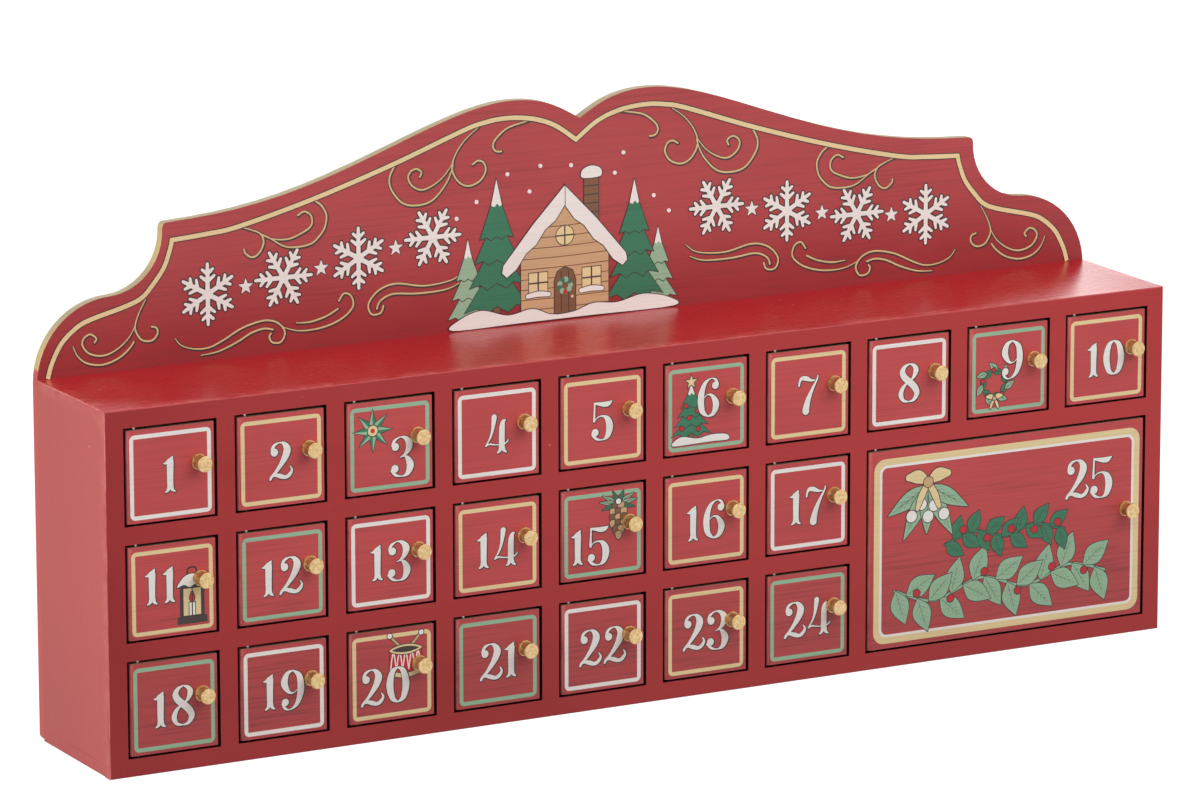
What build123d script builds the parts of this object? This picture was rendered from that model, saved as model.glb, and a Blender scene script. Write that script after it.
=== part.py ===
"""Wooden advent calendar: a shallow box with a pierced front, small doors on hinge pins and a shaped crest.

The frame has +Z up, +X to the right as seen from the front and +Y towards the back. The origin is the
centre of the base's footprint. All lengths are in millimetres.
"""

import os
from dataclasses import dataclass

from build123d import *

# Door grid: ten columns by three rows, and one large door over the last columns of the lower rows
column_count = 10
row_count = 3
large_door_columns = 3
large_door_rows = 2
opening_width = 39.6
opening_height = 39.0
upright_width = 7.6
edge_upright_width = 7.8
rail_height = 7.3

# Boards
front_thickness = 5.0
back_thickness = 4.4
board_thickness = 5.0
divider_thickness = 3.0
inner_depth = 57.9
outer_edge_round = 0.6
lap_clearance = 0.1

# Crest of the back board, above the top of the box
crest_rise = 92.1
shoulder_round = 2.0
heel_round = 2.5

# Doors
door_stop_clearance = 0.1
hinge_side_gap = 0.8
free_side_gap = 1.3
door_top_gap = 1.2
door_bottom_gap = 0.9
hinge_edge_round = 2.0

# Hinge pins
pin_diameter = 1.6
pin_inset = 4.6
pin_in_rail = 3.0
pin_in_door = 4.0
pin_running_clearance = 0.05
pin_seat_clearance = 0.02
bore_end_clearance = 0.3

# Knobs
knob_height = 6.2
knob_head_diameter = 6.2
knob_head_thickness = 1.9
knob_rim_round = 0.25
knob_neck_diameter = 5.2
knob_flange_diameter = 6.3
knob_flange_thickness = 0.7
knob_lip = 0.25
knob_shank_diameter = 2.4
knob_shank_length = 3.6
knob_shank_clearance = 0.03
knob_edge_distance = 6.6
knob_above_middle = 3.25
large_knob_edge_distance = 8.05
large_knob_above_middle = 4.0

# Door stops, glued in the corner behind the free edge of each door
stop_overlap = 2.0
stop_depth = 4.0
stop_height = 10.0

# Nails that hold the back board
nail_length = 16.0
nail_diameter = 1.4
nail_head_diameter = 3.2
nail_head_thickness = 0.8
nail_clearance = 0.02
nails_per_board = 4
nail_end_distance = 30.0

# How far a cut runs past the faces that it opens
cut_overrun = 1.0

# Sizes that follow
column_pitch = opening_width + upright_width
row_pitch = opening_height + rail_height
box_width = column_count * column_pitch - upright_width + 2 * edge_upright_width
box_height = row_count * row_pitch + rail_height
box_depth = front_thickness + inner_depth + back_thickness
half_width = box_width / 2
inner_half_width = half_width - board_thickness
inner_top = box_height - board_thickness

front_face = -box_depth / 2
front_back_face = front_face + front_thickness
back_front_face = front_back_face + inner_depth
back_face = back_front_face + back_thickness
lap_face = front_back_face + inner_depth / 2

door_face = front_face
door_thickness = front_thickness - door_stop_clearance
pin_y = door_face + door_thickness / 2
pin_radius = pin_diameter / 2

large_column = column_count - large_door_columns
large_row = row_count - large_door_rows
full_dividers = range(large_column)
upper_dividers = range(large_column, column_count - 1)
shelf_rows = range(row_count - 1)

# Outline of the crest as shares of half the width and of the crest's rise, from the ear to the middle notch
ear_foot_share = -0.022
ear_shares = [(0.9625, 0.221), (0.868, 0.329)]
sweep_shares = [(0.801, 0.408), (0.773, 0.597)]
shoulder_shares = (0.771, 0.622)
slope_shares = [(0.651, 0.645), (0.519, 0.711), (0.347, 0.856), (0.225, 0.961), (0.1375, 1.0), (0.068, 0.98)]
notch_share = 0.8935
slope_start_share = 0.04
slope_end_share = 0.62


@dataclass
class Opening:
    """One hole in the front, by the number on its door."""

    number: int
    left: float
    bottom: float
    width: float
    height: float

    @property
    def right(self):
        return self.left + self.width

    @property
    def top(self):
        return self.bottom + self.height

    @property
    def name(self):
        return f"{self.number:02d}"


def column_left(column):
    return -half_width + edge_upright_width + column * column_pitch


def row_bottom(row):
    """Bottom of a row's openings; row 0 is the top one."""
    return rail_height + (row_count - 1 - row) * row_pitch


def openings():
    """The small openings in reading order, then the large one."""
    found = []
    for row in range(row_count):
        columns = column_count if row < large_row else large_column
        for column in range(columns):
            place = column_left(column), row_bottom(row)
            found.append(Opening(len(found) + 1, *place, opening_width, opening_height))
    large_width = large_door_columns * column_pitch - upright_width
    large_height = large_door_rows * row_pitch - rail_height
    place = column_left(large_column), row_bottom(row_count - 1)
    found.append(Opening(len(found) + 1, *place, large_width, large_height))
    return found


def block(x_range, y_range, z_range):
    """A box between pairs of coordinates."""
    sizes = [high - low for low, high in (x_range, y_range, z_range)]
    middle = [(low + high) / 2 for low, high in (x_range, y_range, z_range)]
    return Pos(*middle) * Box(*sizes)


def upright_rod(x, y, z_range, radius):
    """A round rod along Z."""
    low, high = z_range
    return Pos(x, y, (low + high) / 2) * Cylinder(radius, high - low)


def deep_rod(x, z, y_range, radius):
    """A round rod along Y."""
    low, high = y_range
    return Pos(x, (low + high) / 2, z) * Rot(90, 0, 0) * Cylinder(radius, high - low)


def hinge_x(opening):
    return opening.left + hinge_side_gap + pin_inset


def door_x_range(opening):
    return opening.left + hinge_side_gap, opening.right - free_side_gap


def door_z_range(opening):
    return opening.bottom + door_bottom_gap, opening.top - door_top_gap


def knob_place(opening):
    """Centre of the knob on the door's face, as x and z."""
    is_large = opening.width > opening_width
    inset = large_knob_edge_distance if is_large else knob_edge_distance
    lift = large_knob_above_middle if is_large else knob_above_middle
    low, high = door_z_range(opening)
    return door_x_range(opening)[1] - inset, (low + high) / 2 + lift


def pin_z_ranges(opening, rail_reach, door_reach):
    """Upper and lower spans along the hinge axis, reaching into the rails and into the door."""
    low, high = door_z_range(opening)
    upper = high - door_reach, opening.top + rail_reach
    lower = opening.bottom - rail_reach, low + door_reach
    return upper, lower


def front_frame(all_openings):
    """The pierced front: one board with a hole for each door and bores for the hinge pins."""
    frame = block((-half_width, half_width), (front_face, front_back_face), (0, box_height))
    outer_edges = frame.faces().sort_by(Axis.Y)[0].edges()
    frame = fillet(outer_edges, outer_edge_round)
    cuts = []
    seat_radius = pin_radius + pin_seat_clearance
    for opening in all_openings:
        x_range = opening.left, opening.right
        z_range = opening.bottom, opening.top
        cuts.append(block(x_range, (front_face - cut_overrun, front_back_face + cut_overrun), z_range))
        for span in pin_z_ranges(opening, pin_in_rail + bore_end_clearance, 0):
            cuts.append(upright_rod(hinge_x(opening), pin_y, span, seat_radius))
    return frame - cuts


def door(opening):
    """A door leaf with a rounded hinge edge, two blind pin bores and the knob's hole."""
    low, high = door_z_range(opening)
    leaf = block(door_x_range(opening), (door_face, door_face + door_thickness), (low, high))
    hinge_edges = leaf.faces().sort_by(Axis.X)[0].edges().filter_by(Axis.Z)
    leaf = fillet(hinge_edges, hinge_edge_round)
    bore_radius = pin_radius + pin_running_clearance
    bore_reach = pin_in_door + bore_end_clearance
    cuts = [upright_rod(hinge_x(opening), pin_y, span, bore_radius) for span in pin_z_ranges(opening, 0, bore_reach)]
    knob_x, knob_z = knob_place(opening)
    hole_radius = knob_shank_diameter / 2 + knob_shank_clearance
    hole_end = door_face + knob_shank_length + bore_end_clearance
    cuts.append(deep_rod(knob_x, knob_z, (door_face - cut_overrun, hole_end), hole_radius))
    return leaf - cuts


def knob(opening):
    """A turned knob: flange, waisted neck, flat round head and a shank for the door."""
    flange_radius = knob_flange_diameter / 2
    head_radius = knob_head_diameter / 2
    neck_radius = knob_neck_diameter / 2
    shank_radius = knob_shank_diameter / 2
    head_back = -(knob_height - knob_head_thickness)
    neck_middle = (head_back - knob_flange_thickness) / 2
    rim_start = -knob_height + knob_rim_round
    outline = Polyline(
        (head_radius - knob_rim_round, -knob_height),
        (0, -knob_height),
        (0, knob_shank_length),
        (shank_radius, knob_shank_length),
        (shank_radius, 0),
        (flange_radius, 0),
        (flange_radius, -knob_flange_thickness),
        (flange_radius - knob_lip, -knob_flange_thickness),
    )
    neck = ThreePointArc(
        (flange_radius - knob_lip, -knob_flange_thickness),
        (neck_radius, neck_middle),
        (head_radius - knob_lip, head_back),
    )
    rim_back = Polyline(
        (head_radius - knob_lip, head_back),
        (head_radius, head_back - knob_lip),
        (head_radius, rim_start),
    )
    rim = RadiusArc((head_radius, rim_start), (head_radius - knob_rim_round, -knob_height), -knob_rim_round)
    profile = make_face([outline, neck, rim_back, rim])
    knob_x, knob_z = knob_place(opening)
    return Pos(knob_x, door_face, knob_z) * revolve(profile, Axis.Y)


def hinge_pins(all_openings):
    """Two plain steel pins for each door, fixed in the rails."""
    pins = []
    for opening in all_openings:
        for span in pin_z_ranges(opening, pin_in_rail, pin_in_door):
            pins.append(upright_rod(hinge_x(opening), pin_y, span, pin_radius))
    return Compound(children=pins)


def crest_point(shares):
    """A point of the crest's left half, as x and z."""
    across, up = shares
    return -across * half_width, box_height + up * crest_rise


def crest_half():
    """Edges of the crest from the top of the left side to the middle notch."""
    ear_middle, ear_end = [crest_point(shares) for shares in ear_shares]
    sweep_middle, sweep_end = [crest_point(shares) for shares in sweep_shares]
    shoulder = crest_point(shoulder_shares)
    slope_points = [crest_point(shares) for shares in slope_shares]
    ear = ThreePointArc(crest_point((1, ear_foot_share)), ear_middle, ear_end)
    sweep = ThreePointArc(ear_end, sweep_middle, sweep_end)
    riser = Line(sweep_end, shoulder)
    start_direction = half_width, slope_start_share * half_width
    end_direction = half_width, -slope_end_share * half_width
    notch = crest_point((0, notch_share))
    slope = Spline(shoulder, *slope_points, notch, tangents=[start_direction, end_direction])
    return [ear, sweep, riser, slope]


def back_panel(nail_places):
    """The back board, as wide as the box and rising above it to a crest with two humps and a notch."""
    left = crest_half()
    right = [edge.mirror(Plane.YZ) for edge in left]
    left_foot, foot_z = crest_point((1, ear_foot_share))
    base = Polyline((left_foot, foot_z), (left_foot, 0), (-left_foot, 0), (-left_foot, foot_z))
    outline = make_face([base, *left, *right])
    panel = extrude(Plane.XZ.offset(-back_face) * outline, back_thickness)
    shoulder_x, shoulder_z = crest_point(shoulder_shares)
    panel = round_corners(panel, half_width, 0, heel_round)
    panel = round_corners(panel, abs(shoulder_x), shoulder_z, shoulder_round)
    return panel - nail_bores(nail_places)


def round_corners(panel, x, z, radius):
    """Round the two edges of a panel that run front to back nearest to a point and to its mirror image."""
    depth_edges = panel.edges().filter_by(Axis.Y)
    corners = [Vector(side * x, (back_front_face + back_face) / 2, z) for side in (-1, 1)]
    nearest = [min(depth_edges, key=lambda edge: (edge.center() - corner).length) for corner in corners]
    return fillet(nearest, radius)


def nail_positions():
    """Where the nails enter the back board, in line with the top and bottom boards, as x and z."""
    span = box_width - 2 * nail_end_distance
    step = span / (nails_per_board - 1)
    levels = board_thickness / 2, box_height - board_thickness / 2
    return [(-span / 2 + step * i, level) for level in levels for i in range(nails_per_board)]


def nail(place, clearance):
    """A flat-headed nail driven from the back, or its bore when it has a clearance."""
    x, z = place
    end = back_face + cut_overrun if clearance else back_face
    tip = back_face - nail_length - clearance
    shank = deep_rod(x, z, (tip, end), nail_diameter / 2 + clearance)
    head_start = back_face - nail_head_thickness - clearance
    return shank + deep_rod(x, z, (head_start, end), nail_head_diameter / 2 + clearance)


def nail_bores(places):
    return [nail(place, nail_clearance) for place in places]


def flat_board(level, outer_face, nail_places):
    """The top or the bottom board, the full width of the box, with the outer edges of its ends eased."""
    z_range = level, level + board_thickness
    board = block((-half_width, half_width), (front_back_face, back_front_face), z_range)
    ends = board.faces().sort_by(Axis.Z)[outer_face].edges().filter_by(Axis.Y)
    return fillet(ends, outer_edge_round) - nail_bores(nail_places)


def side_boards():
    """The left and right boards, standing between the top and bottom boards."""
    boards = []
    for side in (-1, 1):
        x_range = sorted((side * half_width, side * inner_half_width))
        boards.append(block(x_range, (front_back_face, back_front_face), (board_thickness, inner_top)))
    return Compound(children=boards)


def divider_x(column):
    """Middle of the divider to the right of a column."""
    return column_left(column) + opening_width + upright_width / 2


def shelf_z(row):
    """Middle of the shelf under a row."""
    return row_bottom(row) - rail_height / 2


def lap_slot(x, z, y_range, across, up):
    return block((x - across / 2, x + across / 2), y_range, (z - up / 2, z + up / 2))


def dividers():
    """Upright dividers: full-height ones lapped over the shelves, and short ones above the large compartment."""
    made = []
    half = divider_thickness / 2
    last_full = full_dividers[-1]
    for column in full_dividers:
        x = divider_x(column)
        board = block((x - half, x + half), (front_back_face, back_front_face), (board_thickness, inner_top))
        lapped_rows = shelf_rows if column != last_full else shelf_rows[:large_row]
        slot_height = divider_thickness + lap_clearance
        y_range = lap_face - lap_clearance / 2, back_front_face + cut_overrun
        slots = [lap_slot(x, shelf_z(row), y_range, 2 * divider_thickness, slot_height) for row in lapped_rows]
        made.append(board - slots)
    shelf_top = shelf_z(0) + half
    for column in upper_dividers:
        x = divider_x(column)
        made.append(block((x - half, x + half), (front_back_face, back_front_face), (shelf_top, inner_top)))
    return Compound(children=made)


def shelves():
    """Shelves under the rows: the upper one full width, the others ending at the large compartment."""
    made = []
    half = divider_thickness / 2
    last_full = full_dividers[-1]
    for row in shelf_rows:
        z = shelf_z(row)
        is_full = row < large_row
        right_end = inner_half_width if is_full else divider_x(last_full) - half
        board = block((-inner_half_width, right_end), (front_back_face, back_front_face), (z - half, z + half))
        lapped = full_dividers if is_full else full_dividers[:-1]
        slot_width = divider_thickness + lap_clearance
        y_range = front_back_face - cut_overrun, lap_face + lap_clearance / 2
        slots = [lap_slot(divider_x(column), z, y_range, slot_width, 2 * divider_thickness) for column in lapped]
        made.append(board - slots)
    return Compound(children=made)


def stop_wall(opening):
    """Inner face of the board to the right of a compartment."""
    is_last = opening.right + column_pitch > half_width
    return inner_half_width if is_last else opening.right + (upright_width - divider_thickness) / 2


def door_stops(all_openings):
    """A small block behind the free edge of each door."""
    stops = []
    for opening in all_openings:
        x_range = door_x_range(opening)[1] - stop_overlap, stop_wall(opening)
        middle = (opening.bottom + opening.top) / 2
        z_range = middle - stop_height / 2, middle + stop_height / 2
        stops.append(block(x_range, (front_back_face, front_back_face + stop_depth), z_range))
    return Compound(children=stops)


def back_panel_nails(places):
    return Compound(children=[nail(place, 0) for place in places])


def build():
    """Every node of the calendar by name."""
    all_openings = openings()
    nail_places = nail_positions()
    low_nails = nail_places[:nails_per_board]
    high_nails = nail_places[nails_per_board:]
    nodes = {
        "front_frame": front_frame(all_openings),
        "back_panel": back_panel(nail_places),
        "top_board": flat_board(inner_top, -1, high_nails),
        "bottom_board": flat_board(0, 0, low_nails),
        "side_boards": side_boards(),
        "shelves": shelves(),
        "dividers": dividers(),
        "hinge_pins": hinge_pins(all_openings),
        "door_stops": door_stops(all_openings),
        "back_panel_nails": back_panel_nails(nail_places),
    }
    for opening in all_openings:
        nodes[f"door_{opening.name}"] = door(opening)
        nodes[f"knob_{opening.name}"] = knob(opening)
    return nodes


if __name__ == "__main__":
    os.makedirs("parts", exist_ok=True)
    for node_name, shape in build().items():
        export_step(shape, f"parts/{node_name}.step")
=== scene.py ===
import math

import bpy
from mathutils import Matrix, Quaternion, Vector


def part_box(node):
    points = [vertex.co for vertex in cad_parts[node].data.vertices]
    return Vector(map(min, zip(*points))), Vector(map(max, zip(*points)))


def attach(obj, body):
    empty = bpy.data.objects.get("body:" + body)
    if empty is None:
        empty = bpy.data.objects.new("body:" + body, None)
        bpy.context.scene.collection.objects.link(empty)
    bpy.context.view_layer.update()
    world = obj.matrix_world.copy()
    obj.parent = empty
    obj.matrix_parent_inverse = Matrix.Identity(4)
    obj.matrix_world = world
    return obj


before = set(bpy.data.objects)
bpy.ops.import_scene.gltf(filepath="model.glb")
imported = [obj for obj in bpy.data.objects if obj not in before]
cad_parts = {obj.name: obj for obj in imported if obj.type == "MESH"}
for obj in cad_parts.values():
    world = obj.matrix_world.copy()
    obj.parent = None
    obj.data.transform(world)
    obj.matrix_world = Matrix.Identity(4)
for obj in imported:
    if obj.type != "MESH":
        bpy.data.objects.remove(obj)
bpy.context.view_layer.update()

# Sizes and places that come from the frame
mm = 0.001
front_low, front_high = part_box("front_frame")
crest_low, crest_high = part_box("back_panel")
shelf_low, shelf_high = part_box("shelves")
inner_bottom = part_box("bottom_board")[1].z
inner_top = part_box("top_board")[0].z
box_top = front_high.z
crest_face = crest_low.y
door_count = 25
large_door = 25
door_names = [f"door_{number:02d}" for number in range(1, door_count + 1)]
knob_names = [f"knob_{number:02d}" for number in range(1, door_count + 1)]
door_boxes = [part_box(name) for name in door_names]

# Thickness of the painted layers
paint_layer = 0.005 * mm
paint_sunk = 0.02 * mm


def tint(red, green, blue):
    """A colour as the eye reads it, from 0 to 255, as the linear colour that a material takes."""
    linear = []
    for level in (red, green, blue):
        share = level / 255
        linear.append(share / 12.92 if share <= 0.04045 else ((share + 0.055) / 1.055) ** 2.4)
    return (*linear, 1.0)


class Signal:
    """A socket in a material's tree. Sums on it become Math nodes."""

    def __init__(self, finish, socket):
        self.finish = finish
        self.socket = socket

    def __add__(self, other):
        return self.finish.sum("ADD", self, other)

    def __radd__(self, other):
        return self.finish.sum("ADD", other, self)

    def __sub__(self, other):
        return self.finish.sum("SUBTRACT", self, other)

    def __rsub__(self, other):
        return self.finish.sum("SUBTRACT", other, self)

    def __mul__(self, other):
        return self.finish.sum("MULTIPLY", self, other)

    def __rmul__(self, other):
        return self.finish.sum("MULTIPLY", other, self)


class Finish:
    """One procedural material and the nodes that make it."""

    def __init__(self, name, store=bpy.data.materials, output="ShaderNodeOutputMaterial"):
        self.material = store.new(name)
        self.material.use_nodes = True
        self.tree = self.material.node_tree
        self.tree.nodes.clear()
        self.output = self.tree.nodes.new(output)

    def feed(self, socket, value):
        if isinstance(value, Signal):
            self.tree.links.new(value.socket, socket)
        else:
            socket.default_value = value

    def node(self, kind, settings=(), sockets=(), output=0):
        made = self.tree.nodes.new(kind)
        for name, value in dict(settings).items():
            setattr(made, name, value)
        for name, value in dict(sockets).items():
            self.feed(made.inputs[name], value)
        return Signal(self, made.outputs[output])

    def sum(self, operation, first, second):
        return self.node("ShaderNodeMath", {"operation": operation}, {0: first, 1: second})

    def mix(self, share, first, second):
        """first where share is 0 and second where it is 1, for colours."""
        return self.node("ShaderNodeMix", {"data_type": "RGBA"}, {0: share, 6: first, 7: second}, output=2)

    def rise(self, value, low, high):
        """0 below low, 1 above high and a smooth step between them."""
        steps = {"Value": value, "From Min": low, "From Max": high}
        return self.node("ShaderNodeMapRange", {"interpolation_type": "SMOOTHSTEP"}, steps)

    def place(self, stretch):
        """The point on the piece, in metres in the frame, times stretch along each axis."""
        point = self.node("ShaderNodeTexCoord", output="Object")
        return self.node("ShaderNodeMapping", sockets={"Vector": point, "Scale": stretch})

    def noise(self, stretch, detail=3.0, roughness=0.55):
        sockets = {"Vector": self.place(stretch), "Scale": 1.0, "Detail": detail, "Roughness": roughness}
        return self.node("ShaderNodeTexNoise", sockets=sockets)

    def cells(self, stretch):
        """Distance to the nearest of many scattered points."""
        return self.node("ShaderNodeTexVoronoi", sockets={"Vector": self.place(stretch), "Scale": 1.0})

    def axis(self, vector, index):
        return self.node("ShaderNodeSeparateXYZ", sockets={0: vector}, output=index)

    def bump(self, height, depth):
        return self.node("ShaderNodeBump", sockets={"Height": height, "Distance": depth, "Strength": 1.0})

    def show(self, shader):
        self.tree.links.new(shader.socket, self.output.inputs["Surface"])

    def surface(self, **inputs):
        """A Principled shader. Each input is called as its socket, in small letters with underscores."""
        sockets = {}
        for name, value in inputs.items():
            sockets[name.replace("_", " ").title().replace("Ior", "IOR")] = value
        self.show(self.node("ShaderNodeBsdfPrincipled", sockets=sockets))


# Feature sizes of the textures, as features in a metre along x, y and z
grain_stretch = (20.0, 1100.0, 1100.0)
fine_grain_stretch = (40.0, 2200.0, 2200.0)
grain_patch_stretch = (8.0, 60.0, 60.0)
upright_stretch = (500.0, 500.0, 7.0)
mottle_stretch = (14.0, 14.0, 18.0)
brush_stretch = (60.0, 900.0, 900.0)
speck_stretch = (120.0, 120.0, 120.0)
scuff_stretch = (110.0, 160.0, 160.0)
wear_stretch = (90.0, 90.0, 90.0)
hammered_stretch = (900.0, 900.0, 900.0)
drawn_stretch = (1500.0, 1500.0, 120.0)
# Depths of the textures
brush_depth = 0.02 * mm
grain_depth = 0.03 * mm
fibre_depth = 0.04 * mm
drawn_depth = 0.01 * mm
# Where painted edges start and how softly
edge_blur = 1.5 * mm
cream_start = box_top + 3.0 * mm
inner_margin = 2.5 * mm
scuff_reach = 9.0 * mm
# The stretch of the crest above the box over which its red deepens towards the box, as painted shade
crest_shade_low = box_top - 6.0 * mm
crest_shade_high = box_top + 48.0 * mm
# The stretch above the base over which the painted shade at the front's foot fades, so the front's reds
# lighten upwards
shade_low = front_low.z + 15.0 * mm
shade_high = front_low.z + 75.0 * mm
# The stretch at the front's left end in which its red lightens, part of a painted sheen that grows towards
# the right
stile_end = front_low.x + 45.0 * mm
# Middle of the lowest row of doors, and the pitch of the rows
first_low_door = 18
low_row_middle = (door_boxes[first_low_door - 1][0].z + door_boxes[first_low_door - 1][1].z) / 2
row_pitch = (door_boxes[0][0].z - door_boxes[first_low_door - 1][0].z) / 2
# Reds that several boards share: the sides' red, paler as painted light; a darker red for brush streaks and
# painted shade; a pale red for wear and painted highlights; and a near black red as painted shade in the
# gaps
side_lit_red = tint(179, 59, 53)
side_streak_and_shade_red = tint(162, 46, 43)
worn_and_highlight_red = tint(206, 112, 104)
gap_shade_red = tint(46, 11, 13)


def wood_grain(finish):
    """Dark lines along x that come and go, from 0 to 1."""
    lines = finish.rise(finish.noise(grain_stretch, detail=1.0), 0.46, 0.66)
    fine = finish.rise(finish.noise(fine_grain_stretch, detail=1.0), 0.44, 0.70)
    patch = finish.rise(finish.noise(grain_patch_stretch, detail=4.0), 0.34, 0.66)
    return (0.64 * lines + 0.36 * fine) * (0.45 + 0.55 * patch)


def paint_colour(finish, colour, dark, pale, grain_share, mottle_share):
    """A painted colour with dark wood grain along x and a soft uneven tone."""
    mottle = finish.rise(finish.noise(mottle_stretch), 0.30, 0.70)
    uneven = finish.mix(mottle * mottle_share, colour, pale)
    return finish.mix(wood_grain(finish) * grain_share, uneven, dark)


def along(finish, index):
    """Where the point lies along one axis of the frame, in metres."""
    return finish.axis(finish.place((1.0, 1.0, 1.0)), index)


def facing(finish, index):
    """How far the surface faces along one axis, from -1 to 1."""
    return finish.axis(finish.node("ShaderNodeTexCoord", output="Normal"), index)


def facing_share(finish, index):
    """How squarely the surface faces along one axis, either way, from 0 to 1."""
    part = facing(finish, index)
    return part * part


def inside(finish, index, low, high):
    """1 where the point lies well between low and high along one axis."""
    place = along(finish, index)
    return finish.rise(place, low, low + edge_blur) * (1.0 - finish.rise(place, high - edge_blur, high))


def low_shade(finish):
    """1 near the base of the front, 0 from the middle row of doors up: the mask of a painted shade."""
    return 1.0 - finish.rise(along(finish, 2), shade_low, shade_high)


def interior(finish):
    """1 on what faces the compartments."""
    across = inside(finish, 0, shelf_low.x - inner_margin, shelf_high.x + inner_margin)
    upright = inside(finish, 2, inner_bottom - inner_margin, inner_top + inner_margin)
    return across * upright * finish.rise(along(finish, 1), front_high.y, front_high.y + edge_blur)


def bare_colour(finish):
    """Unpainted board, with its grain."""
    colour = finish.mix(wood_grain(finish), tint(206, 172, 128), tint(158, 116, 76))
    return finish.mix(finish.noise(brush_stretch) * 0.5, colour, tint(190, 150, 106))


def worn_edges(finish):
    """1 on the rounded edges at a board's ends, in uneven stretches. Their paler red is partly wear and
    partly painted highlight.
    """
    sideways = facing_share(finish, 0)
    level = finish.sum("MAXIMUM", facing_share(finish, 1), facing_share(finish, 2))
    squarest = finish.sum("MAXIMUM", sideways, level)
    rounded = (1.0 - finish.rise(squarest, 0.72, 0.97)) * finish.rise(sideways, 0.02, 0.20)
    return rounded * (0.15 + 0.65 * finish.rise(finish.noise(wear_stretch), 0.30, 0.62))


def pale_specks(finish):
    """A few small specks, 1 where one lies."""
    chosen = finish.rise(finish.noise(mottle_stretch, detail=5.0), 0.60, 0.64)
    return (1.0 - finish.rise(finish.cells(speck_stretch), 0.035, 0.06)) * chosen


def scuffs(finish):
    """Uneven wear in a band along the box's front, end and top edges, from 0 to 1."""
    x = along(finish, 0)
    front = 1.0 - finish.rise(along(finish, 1), front_low.y, front_low.y + scuff_reach)
    left = 1.0 - finish.rise(x, front_low.x, front_low.x + scuff_reach)
    right = finish.rise(x, front_high.x - scuff_reach, front_high.x)
    top = finish.rise(along(finish, 2), box_top - scuff_reach, box_top)
    patches = finish.rise(finish.noise(scuff_stretch, detail=6.0, roughness=0.7), 0.40, 0.68)
    return finish.rise(front + left + right + top, 1.0, 2.0) * patches


def box_board():
    """The frame and the boards of the box: a red for each way they face, as painted light and shade, and
    dark walls in the openings as painted shade.
    """
    finish = Finish("box_paint")
    x = along(finish, 0)
    # Painted sheen: the front's red lightens from the left end towards the right.
    painted_sheen_drift = 0.5 * finish.rise(x, front_low.x, stile_end) + 0.5 * finish.rise(x, front_low.x, front_high.x)
    base = finish.mix(painted_sheen_drift, tint(142, 16, 20), tint(169, 42, 43))
    # Painted shade: the front's red darkens towards the base.
    base = finish.mix(low_shade(finish) * 0.5, base, tint(131, 17, 20))
    front = paint_colour(finish, base, tint(122, 26, 32), tint(167, 40, 41), 0.14, 0.3)
    streaks = finish.rise(finish.noise(upright_stretch, detail=5.0), 0.32, 0.80)
    # The sides' red darkens towards the back and the base as painted shade, besides its brush streaks.
    rearward_shade = finish.rise(along(finish, 1), front_low.y, crest_face)
    side = finish.mix(0.25 * streaks + 0.45 * rearward_shade + 0.3 * low_shade(finish), side_lit_red, side_streak_and_shade_red)
    # Painted light: one paint takes a red for the front, a paler one for the sides and a deeper one for the
    # top.
    top = paint_colour(finish, tint(164, 10, 20), tint(128, 8, 16), tint(170, 16, 26), 0.22, 0.7)
    upward = finish.rise(facing_share(finish, 2), 0.45, 0.65)
    sideways = finish.rise(facing_share(finish, 0), 0.45, 0.65)
    colour = finish.mix(upward, finish.mix(sideways, front, side), top)
    across = inside(finish, 0, front_low.x + edge_blur, front_high.x - edge_blur)
    upright = inside(finish, 2, front_low.z + edge_blur, front_high.z - edge_blur)
    within = across * upright
    walls = 1.0 - finish.rise(facing_share(finish, 1), 0.2, 0.5)
    # Scuffs are wear; the paler red of the rounded edges is partly wear and partly painted highlight.
    colour = finish.mix(scuffs(finish) * (0.5 * upward + 0.35 * sideways), colour, worn_and_highlight_red)
    colour = finish.mix(worn_edges(finish) * (1.0 - within), colour, worn_and_highlight_red)
    # Painted shade: the walls of the openings take a near black red.
    colour = finish.mix(walls * within, colour, gap_shade_red)
    colour = finish.mix(interior(finish), colour, bare_colour(finish))
    brushed = finish.noise(brush_stretch)
    finish.surface(
        base_color=finish.mix(pale_specks(finish) * 0.6, colour, tint(226, 178, 170)),
        roughness=0.36 - 0.15 * upward + 0.15 * brushed,
        specular_ior_level=0.45,
        normal=finish.bump(brushed, brush_depth),
    )
    return finish.material


def door_board():
    """The doors' lighter red with more grain, most in the lowest row, darkened towards the base as painted
    shade, and brownish edges: darker on the sides as painted shade in the gaps, paler on top as painted
    light.
    """
    finish = Finish("door_paint")
    low = 1.0 - finish.rise(along(finish, 2), front_low.z, box_top)
    grain_share = 0.18 + 0.24 * low + 0.42 * low_shade(finish)
    colour = paint_colour(finish, tint(180, 62, 64), tint(94, 30, 34), tint(188, 70, 71), grain_share, 0.8)
    # Painted shade: the doors' red darkens towards the base.
    colour = finish.mix(low_shade(finish) * 0.5, colour, tint(140, 48, 50))
    # The doors' rounded edges turn paler, partly as wear and partly as painted highlight.
    colour = finish.mix(worn_edges(finish) * 0.7, colour, worn_and_highlight_red)
    # The door's edges: dark on the sides as painted shade in the gaps, paler brown on top as painted light.
    edges = 1.0 - finish.rise(facing_share(finish, 1), 0.2, 0.5)
    top_edge = finish.rise(facing_share(finish, 2), 0.5, 0.8)
    lit_and_shaded_edge_colour = finish.mix(top_edge, tint(64, 24, 22), tint(146, 104, 84))
    finish.surface(
        base_color=finish.mix(edges, colour, lit_and_shaded_edge_colour),
        roughness=0.40 + 0.14 * finish.noise(mottle_stretch),
        normal=finish.bump(finish.noise(grain_stretch), grain_depth),
    )
    return finish.material


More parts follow.
